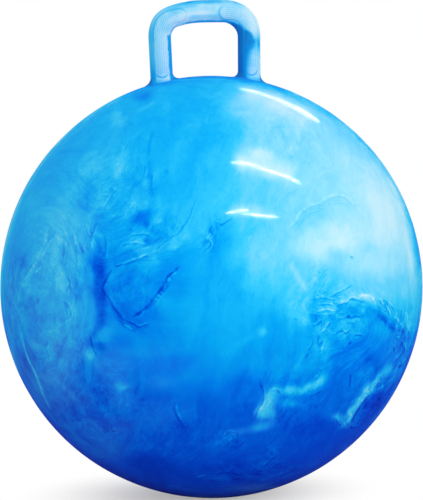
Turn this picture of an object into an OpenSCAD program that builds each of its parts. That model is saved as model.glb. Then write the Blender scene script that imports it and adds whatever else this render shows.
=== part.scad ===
// Hopper ball: an inflated, marbled vinyl ball with a hollow loop handle.
// The ball stands on the small flat that its own weight presses into its base.
// Millimetres. Z is up, the loop lies in the XZ plane and the valve faces +Y.
// The origin is the middle of the flat on the floor.

/* [Ball] */
// Diameter of the inflated ball
ball_d = 450; // [350:10:650]
// Thickness of the moulded skin
skin_t = 1.2; // [0.8:0.1:3]
// Diameter of the flat that the weight presses into the base
floor_flat_d = 52; // [40:1:70]

/* [Handle] */
// Height of the loop above the top of the ball
loop_h = 81; // [70:1:110]
// Distance between the middles of the two legs, at the corners
leg_spacing = 95.4; // [84:0.2:130]
// Width of the tube, seen square to the loop
tube_w = 23.5; // [22:0.5:28]
// Depth of the tube, from the front of the loop to the back
tube_depth = 26; // [24:0.5:32]
// Rounding of the tube's long edges
tube_round = 10.75; // [8:0.25:10.75]
// Wall of the tube
tube_wall = 3; // [2:0.1:4]
// Radius of the corners along the middle of the tube
corner_r = 28; // [24:0.5:34]
// Angle by which each leg leans outwards as it rises
leg_lean = 1.3; // [0.2:0.1:4]
// Radius of the flare where a leg grows out of the ball
root_flare_r = 7.5; // [5:0.5:10]

/* [Grip pads] */
// Width of a raised grip pad
pad_w = 13.2; // [10:0.2:14]
// Height of a pad above the face of the tube
pad_rise = 0.6; // [0.3:0.1:1.2]
// Straight length of a pad along the top bar, past the corner
pad_reach = 1; // [0.5:0.5:6]
// Height of the lower end of a pad above the ball, beside the leg
pad_lift = 4; // [1:0.5:20]
// Distance of the pad outwards from the middle of a leg
pad_out = 0.4; // [0:0.1:1.2]
// Distance of the pad down from the middle of the top bar
pad_drop = 2.2; // [1:0.1:3]
// Radius of the pad's corner along its own middle
pad_corner_r = 23; // [18:0.5:28]

/* [Valve] */
// Diameter of the bush where it fills the hole in the skin
bush_d = 30; // [26:0.5:40]
// Diameter of the flange behind the skin
bush_flange_d = 44; // [42:0.5:60]
// Thickness of the flange
bush_flange_t = 2; // [1.2:0.1:4]
// Diameter of the sleeve that grips the plug
bush_sleeve_d = 18; // [15:0.5:22]
// Depth of the sleeve's inner end below the surface of the ball
bush_l = 22; // [19:0.5:35]
// Diameter of the air bore
bore_d = 10; // [8:0.1:11]
// Diameter of the dish that the plug's head lies in
dish_d = 22; // [20.5:0.1:25]
// Depth of the dish
dish_depth = 1.8; // [1.6:0.1:3]
// Diameter of the plug's head
plug_head_d = 19.6; // [14:0.1:20]
// Thickness of the plug's head
plug_head_t = 1.4; // [1:0.1:1.6]
// Rounding of the head's rim
plug_head_round = 0.5; // [0.2:0.1:0.9]
// Length of the plug's shank below its head
plug_shank_l = 17; // [14:0.5:24]
// Length of the plug's tapered tip
plug_tip_l = 3; // [2:0.5:5]
// Number of sealing ribs round the shank
plug_ribs = 3; // [1:1:4]
// Height of each rib along the shank
plug_rib_l = 1.8; // [1:0.1:2.4]
// Depth of the groove between two ribs
plug_groove = 0.5; // [0.3:0.1:1]
// Clearance between the ribs and the bore, on each side
plug_fit = 0.05; // [0.02:0.01:0.1]

/* [Hidden] */
$fn = 96;
ball_fn = 180;

// Overrun of every cut past the face that it opens
over = 1;

ball_r = ball_d / 2;
inner_r = ball_r - skin_t;
centre_z = sqrt(pow(ball_r, 2) - pow(floor_flat_d / 2, 2));

// Each half of the loop is a leg, a quarter turn and half the bar, turned together about the
// middle of the corner by the lean, so that the bar rises a little towards the middle
hollow_w = tube_w - 2 * tube_wall;
hollow_depth = tube_depth - 2 * tube_wall;
hollow_round = tube_round - tube_wall;
corner_x = leg_spacing / 2 - corner_r;
corner_drop = corner_x * tan(leg_lean) + (corner_r + tube_w / 2) / cos(leg_lean);
corner_z = centre_z + ball_r + loop_h - corner_drop;
bar_l = corner_x + tube_w;

// How far inside the leg's walls a flare starts, since it leans another way than the leg
flare_inset = 1;

// The flare's base plane, out from the middle of the ball, where its rim meets the ball
flare_base = sqrt(pow(ball_r, 2) - pow(tube_depth / 2 + root_flare_r, 2));

// A leg's middle line runs from the corner arc down to just inside the skin
leg_top_z = corner_z - corner_r * sin(leg_lean);
leg_foot_z = centre_z + sqrt(pow(ball_r, 2) - pow(leg_spacing / 2 + tube_w / 2, 2));
leg_l = (leg_top_z - leg_foot_z) / cos(leg_lean) + 2 * root_flare_r;

// Where that line meets the ball, and the angle of the flare that it runs through
root_x = leg_spacing / 2 - (leg_top_z - leg_foot_z) * tan(leg_lean);
root_z = centre_z + sqrt(pow(ball_r, 2) - pow(root_x, 2));
root_angle = asin(root_x / (flare_base + root_flare_r));

// The pad's path is the loop's, moved outwards at the leg and down at the bar
pad_x = corner_r + pad_out - pad_corner_r;
pad_z = corner_r - pad_drop - pad_corner_r;
pad_leg_l = pad_z + (leg_top_z - root_z) / cos(leg_lean) - pad_lift - pad_w / 2;

// Levels along the valve's axis, measured outwards from the middle of the ball
dish_y = ball_r - dish_depth;
bush_end_y = ball_r - bush_l;
rib_pitch = (plug_shank_l - plug_tip_l) / plug_ribs;
rib_r = bore_d / 2 - plug_fit;
groove_r = rib_r - plug_groove;

// Everything above a level, wide and tall enough to hold the whole ball
module above(level) {
    translate([0, 0, level]) cylinder(h = 2 * ball_d, r = ball_d);
}

// A ball about the middle
module ball(r) {
    translate([0, 0, centre_z]) sphere(r = r, $fn = ball_fn);
}

// The same ball, flattened at a level above the floor
module flattened_ball(r, level) {
    intersection() {
        ball(r);
        above(level);
    }
}

// Turns a shape drawn up +Z from the middle of the ball onto the valve's axis
module on_valve_axis() {
    translate([0, 0, centre_z]) rotate([-90, 0, 0]) children();
}

// Rectangle with round corners, about its own middle
module rounded_section(w, d, r) {
    square([w - 2 * r, d], center = true);
    square([w, d - 2 * r], center = true);
    for (x = [-1, 1], y = [-1, 1])
        translate([x * (w / 2 - r), y * (d / 2 - r)]) circle(r = r);
}

// Turns a shape drawn about the middle of a corner into place, on both sides
module on_both_corners() {
    for (side = [0, 1]) mirror([side, 0, 0])
        translate([corner_x, 0, corner_z]) rotate([0, leg_lean, 0]) children();
}

// A leg with this section, running on into the ball
module leg(w, d, round_r) {
    translate([corner_r, 0, -leg_l]) linear_extrude(leg_l) rounded_section(w, d, round_r);
}

// One leg, its corner and the bar from there to past the middle, with this section
module leg_corner_and_bar(w, d, round_r) {
    leg(w, d, round_r);
    rotate([90, 0, 0]) rotate_extrude(angle = 90)
        translate([corner_r, 0]) rounded_section(w, d, round_r);
    translate([0, 0, corner_r]) rotate([0, -90, 0])
        linear_extrude(bar_l) rounded_section(w, d, round_r);
}

// The whole loop with this section, its halves cut square and joined in the middle
module swept_loop(w, d, round_r) {
    for (side = [0, 1]) mirror([side, 0, 0]) intersection() {
        translate([corner_x, 0, corner_z]) rotate([0, leg_lean, 0])
            leg_corner_and_bar(w, d, round_r);
        translate([0, -ball_r, 0]) cube([ball_d, ball_d, 2 * ball_d]);
    }
}

// Concave edge of a flare, from the tube's wall outwards, its foot below the ball's skin
module flare_edge() {
    difference() {
        square([root_flare_r, 2 * root_flare_r]);
        translate([root_flare_r, 2 * root_flare_r]) circle(r = root_flare_r);
    }
}

// Flare round the foot of the right-hand leg, square to the ball's surface there
module root_flare() {
    w = tube_w - 2 * flare_inset;
    d = tube_depth - 2 * flare_inset;
    r = tube_round - flare_inset;

    rotate([0, root_angle, 0]) translate([0, 0, flare_base - root_flare_r]) {
        linear_extrude(2 * root_flare_r) rounded_section(w, d, r);
        for (x = [0, 1], y = [0, 1]) mirror([x, 0, 0]) mirror([0, y, 0])
            translate([w / 2 - r, d / 2 - r, 0]) rotate_extrude(angle = 90)
                translate([r, 0]) flare_edge();
        for (side = [0, 1]) mirror([side, 0, 0]) rotate([90, 0, 0])
            linear_extrude(d - 2 * r, center = true) translate([w / 2, 0]) flare_edge();
        for (side = [0, 1]) mirror([0, side, 0]) rotate([0, 0, 90]) rotate([90, 0, 0])
            linear_extrude(w - 2 * r, center = true) translate([d / 2, 0]) flare_edge();
    }
}

// Outline of the grip pad, seen square to the loop, about the middle of the tube's corner
module pad_outline() {
    half = pad_w / 2;

    translate([pad_x, pad_z]) {
        intersection() {
            difference() {
                circle(r = pad_corner_r + half);
                circle(r = pad_corner_r - half);
            }
            square(2 * pad_corner_r);
        }
        translate([pad_corner_r - half, -pad_leg_l]) square([pad_w, pad_leg_l]);
        translate([pad_corner_r, -pad_leg_l]) circle(r = half);
        translate([-pad_reach, pad_corner_r - half]) square([pad_reach, pad_w]);
        translate([-pad_reach, pad_corner_r]) circle(r = half);
    }
}

// The four grip pads, raised from the tube by the same amount all over, front and back
module pads() {
    on_both_corners() intersection() {
        leg_corner_and_bar(tube_w + 2 * pad_rise, tube_depth + 2 * pad_rise, tube_round + pad_rise);
        rotate([90, 0, 0]) linear_extrude(2 * tube_depth, center = true) pad_outline();
    }
}

// The moulded skin, with a hole for the bush and a way through into each leg
module ball_shell() color([0.12, 0.62, 0.95]) {
    difference() {
        flattened_ball(ball_r, 0);
        flattened_ball(inner_r, skin_t);
        on_valve_axis() cylinder(h = ball_d, d = bush_d);
        on_both_corners() leg(hollow_w, hollow_depth, hollow_round);
    }
}

// The hollow loop, cut to the ball's surface, with its flares and raised pads
module handle_loop() color([0.55, 0.82, 0.98]) {
    difference() {
        union() {
            swept_loop(tube_w, tube_depth, tube_round);
            translate([0, 0, centre_z]) for (side = [0, 1]) mirror([side, 0, 0]) root_flare();
            pads();
        }
        swept_loop(hollow_w, hollow_depth, hollow_round);
        ball(ball_r);
    }
}

// The bush: a plate that fills the hole in the skin, a flange behind it and a sleeve
module valve_bush() color([0.10, 0.42, 0.86]) {
    difference() {
        union() {
            intersection() {
                on_valve_axis() translate([0, 0, dish_y - bush_flange_t])
                    cylinder(h = bush_l, d = bush_d);
                ball(ball_r);
            }
            intersection() {
                on_valve_axis() translate([0, 0, inner_r - bush_flange_t])
                    cylinder(h = bush_l, d = bush_flange_d);
                ball(inner_r);
            }
            on_valve_axis() translate([0, 0, bush_end_y])
                cylinder(h = dish_y - bush_end_y, d = bush_sleeve_d);
        }
        on_valve_axis() {
            translate([0, 0, bush_end_y - over])
                cylinder(h = bush_l + 2 * over, d = bore_d);
            translate([0, 0, dish_y]) cylinder(h = dish_depth + over, d = dish_d);
        }
    }
}

// Outline of half the plug, its axis up +Y and its head's underside at zero
module plug_outline() {
    head_r = plug_head_d / 2;
    edge_r = head_r - plug_head_round;
    edge_y = plug_head_t - plug_head_round;
    square([edge_r, plug_head_t]);
    square([head_r, edge_y]);
    translate([edge_r, edge_y]) circle(r = plug_head_round, $fn = 24);
    translate([0, -plug_shank_l + plug_tip_l]) square([groove_r, plug_shank_l - plug_tip_l]);
    for (i = [0 : plug_ribs - 1]) translate([0, -i * rib_pitch - rib_pitch])
        polygon([[0, 0], [groove_r, 0], [rib_r, plug_rib_l / 2],
                 [rib_r, plug_rib_l], [0, plug_rib_l]]);
    translate([0, -plug_shank_l])
        polygon([[0, 0], [groove_r / 2, 0], [groove_r, plug_tip_l], [0, plug_tip_l]]);
}

// The push-in plug
module valve_plug() color([0.93, 0.95, 0.97]) {
    on_valve_axis() translate([0, 0, dish_y]) rotate_extrude() plug_outline();
}

ball_shell();
handle_loop();
valve_bush();
valve_plug();
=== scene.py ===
"""Hopper ball: a marbled vinyl ball with a hollow loop handle, dotted grips, a valve bush and a plug."""
import math

import bmesh
import bpy
import numpy as np
from mathutils import Matrix, Vector, noise


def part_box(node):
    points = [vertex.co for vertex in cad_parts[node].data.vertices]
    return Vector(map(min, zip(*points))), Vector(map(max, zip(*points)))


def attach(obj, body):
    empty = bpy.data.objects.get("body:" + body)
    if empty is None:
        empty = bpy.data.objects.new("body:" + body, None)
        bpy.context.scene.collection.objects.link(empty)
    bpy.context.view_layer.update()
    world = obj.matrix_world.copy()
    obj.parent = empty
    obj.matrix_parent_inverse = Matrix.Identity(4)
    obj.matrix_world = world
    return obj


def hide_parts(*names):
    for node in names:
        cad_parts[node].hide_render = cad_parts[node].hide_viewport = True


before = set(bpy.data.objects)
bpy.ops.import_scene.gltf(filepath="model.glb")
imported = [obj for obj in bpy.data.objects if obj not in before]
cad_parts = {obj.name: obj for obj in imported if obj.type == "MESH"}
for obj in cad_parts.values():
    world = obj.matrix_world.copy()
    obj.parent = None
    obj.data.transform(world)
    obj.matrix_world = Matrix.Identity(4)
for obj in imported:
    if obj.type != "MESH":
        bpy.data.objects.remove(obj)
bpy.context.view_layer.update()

MM = 0.001

# Ball, as the frame has it
ball_low, ball_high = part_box("ball_shell")
BALL_R = (ball_high.x - ball_low.x) / 2
MIDDLE = Vector((0, 0, ball_high.z - BALL_R))
SKIN = 1.2 * MM
VALVE_HOLE_R = 15 * MM
UNEVENNESS = 0.5 * MM
FLAT_EDGE = 1.2 * MM
WELD = 0.002 * MM
BALL_SEGMENTS = 420
BALL_RINGS = 198
INNER_RINGS = 16

# Handle, as the part's source has it
LOOP_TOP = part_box("handle_loop")[1].z
LEG_SPACING = 95.4 * MM
TUBE_W = 23.5 * MM
TUBE_DEPTH = 26 * MM
TUBE_ROUND = 10.75 * MM
CORNER_R = 28 * MM
LEAN = math.radians(1.3)
FLARE_R = 7 * MM
PAD_W = 13.2 * MM
PAD_RISE = 0.6 * MM
PAD_REACH = 1 * MM
PAD_LIFT = 4 * MM
PAD_OUT = 0.4 * MM
PAD_DROP = 2.2 * MM
PAD_CORNER_R = 23 * MM
# In the photograph both pads sit a little to the left, and the bar hangs lower on the left
PAD_SHIFT = 2.7 * MM
BAR_SAG = 0.9 * MM
LEFT_SAG = 1.9 * MM
# Where the corners are fuller: place along the loop, reach and rise, in millimetres
CORNER_FILLS = ((42, 14, 1.3), (-46, 10, 1.0))
# Domes in rows on the pads, which only the visual has
DOT_D = 1.25 * MM
DOT_RISE = 0.32 * MM
DOT_PITCH = 2.25 * MM
DOT_ROWS = 6
# The gap between rows, as a share of the pitch
DOT_ROW_GAP = 0.88
# How much darker the dots are than the pad: painted shade of the domes
DOT_SHADE = 0.17

# The photograph's frame, and the ball's place in it, in pixels
PHOTO_W, PHOTO_H = 423, 500
BALL_PX = (211.4, 286.6)
BALL_PX_R = 211.4

# Camera
AZIMUTH = math.radians(-6)
ELEVATION = math.radians(4)
ROLL = math.radians(1.6)
CAMERA_DISTANCE = 2.4
CLIP_NEAR = 0.05
CLIP_FAR = 60
SENSOR = 36
FOCAL_PX = BALL_PX_R / math.tan(math.asin(BALL_R / CAMERA_DISTANCE))


def srgb(r, g, b):
    """A colour given as 0 to 255 on a screen, as linear light."""
    parts = [c / 255 for c in (r, g, b)]
    return tuple(c / 12.92 if c <= 0.04045 else ((c + 0.055) / 1.055) ** 2.4 for c in parts) + (1,)


def smooth(low, high, x):
    """0 below low, 1 above high, and a soft step between; low may be the larger one."""
    t = np.clip((np.asarray(x, float) - low) / (high - low), 0, 1)
    return t * t * (3 - 2 * t)


def band(x, low, high, soft):
    """1 between low and high, with a soft edge as wide as soft on either side of each."""
    return smooth(low - soft, low + soft, x) * smooth(high + soft, high - soft, x)


def placed(right, up, back, place):
    """A place in the world whose X, Y and Z axes lie along right, up and back."""
    return Matrix([(right[i], up[i], back[i], place[i]) for i in range(3)] + [(0, 0, 0, 1)])


# Camera and the photograph's frame

class PhotoFrame:
    """The camera's place and axes, and the pixels that points of the object fall on."""

    def __init__(self):
        towards = Vector((math.sin(AZIMUTH) * math.cos(ELEVATION),
                          -math.cos(AZIMUTH) * math.cos(ELEVATION), math.sin(ELEVATION)))
        level = Vector((0, 0, 1)).cross(towards).normalized()
        upright = towards.cross(level)
        right = level * math.cos(ROLL) - upright * math.sin(ROLL)
        up = level * math.sin(ROLL) + upright * math.cos(ROLL)
        ahead = (-towards + up * (BALL_PX[1] - PHOTO_H / 2) / FOCAL_PX
                 - right * (BALL_PX[0] - PHOTO_W / 2) / FOCAL_PX).normalized()
        self.eye = MIDDLE + towards * CAMERA_DISTANCE
        self.back = -ahead
        self.right = up.cross(self.back).normalized()
        self.up = self.back.cross(self.right)

    def camera(self):
        """Makes the camera at the photograph's viewing angle."""
        data = bpy.data.cameras.new("camera")
        data.sensor_width = SENSOR
        data.lens = FOCAL_PX * SENSOR / PHOTO_H
        data.clip_start, data.clip_end = CLIP_NEAR, CLIP_FAR
        camera = bpy.data.objects.new("camera", data)
        camera.matrix_world = placed(self.right, self.up, self.back, self.eye)
        bpy.context.scene.collection.objects.link(camera)
        bpy.context.scene.camera = camera

    def pixels(self, points):
        """Where an array of points falls in the photograph, as two arrays."""
        offset = points - np.array(self.eye)
        depth = -offset @ np.array(self.back)
        return (PHOTO_W / 2 + FOCAL_PX * (offset @ np.array(self.right)) / depth,
                PHOTO_H / 2 - FOCAL_PX * (offset @ np.array(self.up)) / depth)

    def facing(self, points, normals):
        """How squarely each point faces the camera, from -1 to 1."""
        to_eye = np.array(self.eye) - points
        to_eye /= np.linalg.norm(to_eye, axis=1)[:, None]
        return np.sum(to_eye * normals, axis=1)

    def on_ball(self, px, py):
        """The point of the ball that a pixel shows."""
        ray = (self.right * (px - PHOTO_W / 2) - self.up * (py - PHOTO_H / 2)
               - self.back * FOCAL_PX).normalized()
        start = self.eye - MIDDLE
        along = -start.dot(ray)
        inside = along * along - start.length_squared + BALL_R * BALL_R
        return self.eye + ray * (along - math.sqrt(max(inside, 0)))


photo = PhotoFrame()


# Node trees

class Value:
    """A socket in a tree. Sums and products of values add Math nodes."""

    def __init__(self, recipe, node, out=0):
        self.recipe, self.node, self.socket = recipe, node, node.outputs[out]

    def of(self, name):
        return Value(self.recipe, self.node, name)

    def _math(self, operation, *values):
        return self.recipe.math(operation, *values)

    def __add__(self, other):
        return self._math("ADD", self, other)

    def __radd__(self, other):
        return self._math("ADD", other, self)

    def __sub__(self, other):
        return self._math("SUBTRACT", self, other)

    def __rsub__(self, other):
        return self._math("SUBTRACT", other, self)

    def __mul__(self, other):
        return self._math("MULTIPLY", self, other)

    def __rmul__(self, other):
        return self._math("MULTIPLY", other, self)

    def __truediv__(self, other):
        return self._math("DIVIDE", self, other)

    def __rtruediv__(self, other):
        return self._math("DIVIDE", other, self)

    def __pow__(self, other):
        return self._math("POWER", self, other)

    def __mod__(self, other):
        return self._math("MODULO", self, other)

    def __neg__(self):
        return self._math("MULTIPLY", self, -1)

    def __abs__(self):
        return self._math("ABSOLUTE", self)


class Recipe:
    """Adds nodes to a material's tree or a geometry tree."""

    def __init__(self, tree):
        self.tree = tree

    def add(self, kind, settings=None, sockets=None, out=0):
        """Adds a node, makes its settings, then feeds its sockets with values or links."""
        node = self.tree.nodes.new(kind)
        for name, setting in (settings or {}).items():
            if name == "stops":
                self.set_stops(node.color_ramp, setting)
            else:
                setattr(node, name, setting)
        for name, value in (sockets or {}).items():
            if isinstance(value, Value):
                self.tree.links.new(value.socket, node.inputs[name])
            else:
                node.inputs[name].default_value = value
        return Value(self, node, out) if len(node.outputs) else node

    @staticmethod
    def set_stops(ramp, stops):
        while len(ramp.elements) < len(stops):
            ramp.elements.new(1)
        for element, (place, colour) in zip(ramp.elements, stops):
            element.position, element.color = place, colour

    def seen_directly(self):
        """1 for what the camera or a reflection sees, and 0 for the light that falls on the object."""
        rays = self.add("ShaderNodeLightPath")
        mirrored = self.math("MAXIMUM", rays.of("Is Glossy Ray"), rays.of("Is Transmission Ray"))
        return self.math("MAXIMUM", rays.of("Is Camera Ray"), mirrored)

    def math(self, operation, *values):
        return self.add("ShaderNodeMath", {"operation": operation}, dict(enumerate(values)))

    def vectors(self, operation, first, second):
        """Vector Math on two vectors, or on a vector and a number where it is scaled."""
        other = "Scale" if operation == "SCALE" else 1
        return self.add("ShaderNodeVectorMath", {"operation": operation}, {0: first, other: second})

    def clamp(self, value, low=0, high=1):
        return self.math("MINIMUM", self.math("MAXIMUM", value, low), high)

    def step(self, value, low, high):
        """A soft step of a value from 0 at low to 1 at high."""
        return self.add("ShaderNodeMapRange", {"interpolation_type": "SMOOTHSTEP"},
                        {0: value, 1: low, 2: high, 3: 0.0, 4: 1.0})


class Finish(Recipe):
    """A material, with the shader and the patterns that its finish is made of."""

    def __init__(self, name):
        self.material = bpy.data.materials.new(name)
        self.material.use_nodes = True
        super().__init__(self.material.node_tree)
        self.tree.nodes.clear()
        self.place = self.add("ShaderNodeTexCoord").of("Object")

    def attribute(self, name):
        return self.add("ShaderNodeAttribute", {"attribute_name": name}).of("Fac")

    def noise(self, scale, detail=3.0, roughness=0.5, place=None, distortion=0.0):
        return self.add("ShaderNodeTexNoise", {},
                        {"Vector": place or self.place, "Scale": scale, "Detail": detail,
                         "Roughness": roughness, "Distortion": distortion})

    def scaled(self, place, scale):
        return self.add("ShaderNodeMapping", {}, {"Vector": place, "Scale": scale})

    def bent(self, scale, by):
        """The object's coordinates pushed about by a noise."""
        push = self.vectors("SUBTRACT", self.noise(scale).of("Color"), (0.5, 0.5, 0.5))
        return self.vectors("ADD", self.place, self.vectors("SCALE", push, by))

    def ramp(self, value, stops):
        return self.add("ShaderNodeValToRGB", {"stops": stops}, {"Fac": value})

    def blend(self, amount, first, second):
        return self.add("ShaderNodeMix", {"data_type": "RGBA"}, {0: amount, 6: first, 7: second}, out=2)

    def bump(self, height, distance, strength=1.0, normal=None):
        sockets = {"Height": height, "Distance": distance, "Strength": strength}
        if normal:
            sockets["Normal"] = normal
        return self.add("ShaderNodeBump", {}, sockets)

    def close(self, sockets):
        """Ends the tree in the shader with its sockets, and gives the material."""
        shader = self.add("ShaderNodeBsdfPrincipled", {}, sockets)
        self.add("ShaderNodeOutputMaterial", {}, {"Surface": shader})
        return self.material


class Shape(Recipe):
    """A geometry tree with named inputs for its sizes."""

    def __init__(self, name, inputs):
        tree = bpy.data.node_groups.new(name, "GeometryNodeTree")
        super().__init__(tree)
        face = tree.interface
        face.new_socket("Geometry", in_out="INPUT", socket_type="NodeSocketGeometry")
        face.new_socket("Geometry", in_out="OUTPUT", socket_type="NodeSocketGeometry")
        self.inputs = inputs
        self.sockets = {}
        kinds = {float: "NodeSocketFloat", int: "NodeSocketInt"}
        for label, value in inputs.items():
            kind = kinds.get(type(value)) or "NodeSocket" + type(value).__name__
            self.sockets[label] = face.new_socket(label, in_out="INPUT", socket_type=kind)
        self.given = self.add("NodeGroupInput")

    def __getitem__(self, label):
        return self.given.of(label)

    def vector(self, x, y, z):
        return self.add("ShaderNodeCombineXYZ", {}, {0: x, 1: y, 2: z})

    def join(self, *parts):
        node = self.add("GeometryNodeJoinGeometry")
        for part in reversed(parts):
            self.tree.links.new(part.socket, node.node.inputs[0])
        return node

    def finish(self, geometry):
        """Ends the tree in plain geometry with the finish on it."""
        real = self.add("GeometryNodeRealizeInstances", {}, {0: geometry})
        done = self.add("GeometryNodeSetMaterial", {}, {"Geometry": real, "Material": self["Material"]})
        self.add("NodeGroupOutput", {}, {0: done})

    def mesh(self, name):
        """Runs the tree and gives its result as a plain mesh on a new object."""
        seed = bpy.data.objects.new(name + "_seed", bpy.data.meshes.new(name + "_seed"))
        bpy.context.scene.collection.objects.link(seed)
        modifier = seed.modifiers.new("shape", "NODES")
        modifier.node_group = self.tree
        for label, value in self.inputs.items():
            modifier[self.sockets[label].identifier] = value
        evaluated = seed.evaluated_get(bpy.context.evaluated_depsgraph_get())
        mesh = bpy.data.meshes.new_from_object(evaluated)
        seed.modifiers.remove(modifier)
        bpy.data.objects.remove(seed)
        mesh.name = name
        return shown(name, mesh)


def shown(name, mesh):
    """A new object at the origin that shows a mesh."""
    piece = bpy.data.objects.new(name, mesh)
    bpy.context.scene.collection.objects.link(piece)
    mesh.shade_smooth()
    return piece


def positions(mesh):
    """A mesh's vertices as an array of places."""
    flat = np.empty(len(mesh.vertices) * 3)
    mesh.vertices.foreach_get("co", flat)
    return flat.reshape(-1, 3)


def keep_attribute(mesh, name, values):
    """Keeps one number at each vertex under a name that a material can read."""
    attribute = mesh.attributes.new(name, "FLOAT", "POINT")
    attribute.data.foreach_set("value", np.asarray(values, np.float32))


def turn_outwards(mesh):
    """Turns a closed mesh's faces outwards."""
    shell = bmesh.new()
    shell.from_mesh(mesh)
    bmesh.ops.recalc_face_normals(shell, faces=shell.faces)
    shell.to_mesh(mesh)
    shell.free()


# The ball's marbling, with painted glow, shade and highlight in places, painted on its vertices. Tones run
# from 0, deep blue, to 1, palest.
# Every place is a pixel of the photograph, and is carried to the ball by the camera.

# Tone down the middle of the ball: row and tone. It darkens towards the bottom, partly the vinyl's deep blue
# and partly painted shade; the last row is painted lighter against the shadow at the foot
FALL = ((76, 0.62), (88, 0.62), (100, 0.60), (150, 0.62), (210, 0.61), (260, 0.59), (310, 0.57),
        (342, 0.51), (370, 0.41), (398, 0.32), (426, 0.26), (454, 0.24), (470, 0.21), (484, 0.16),
        (498, 0.30))

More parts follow.
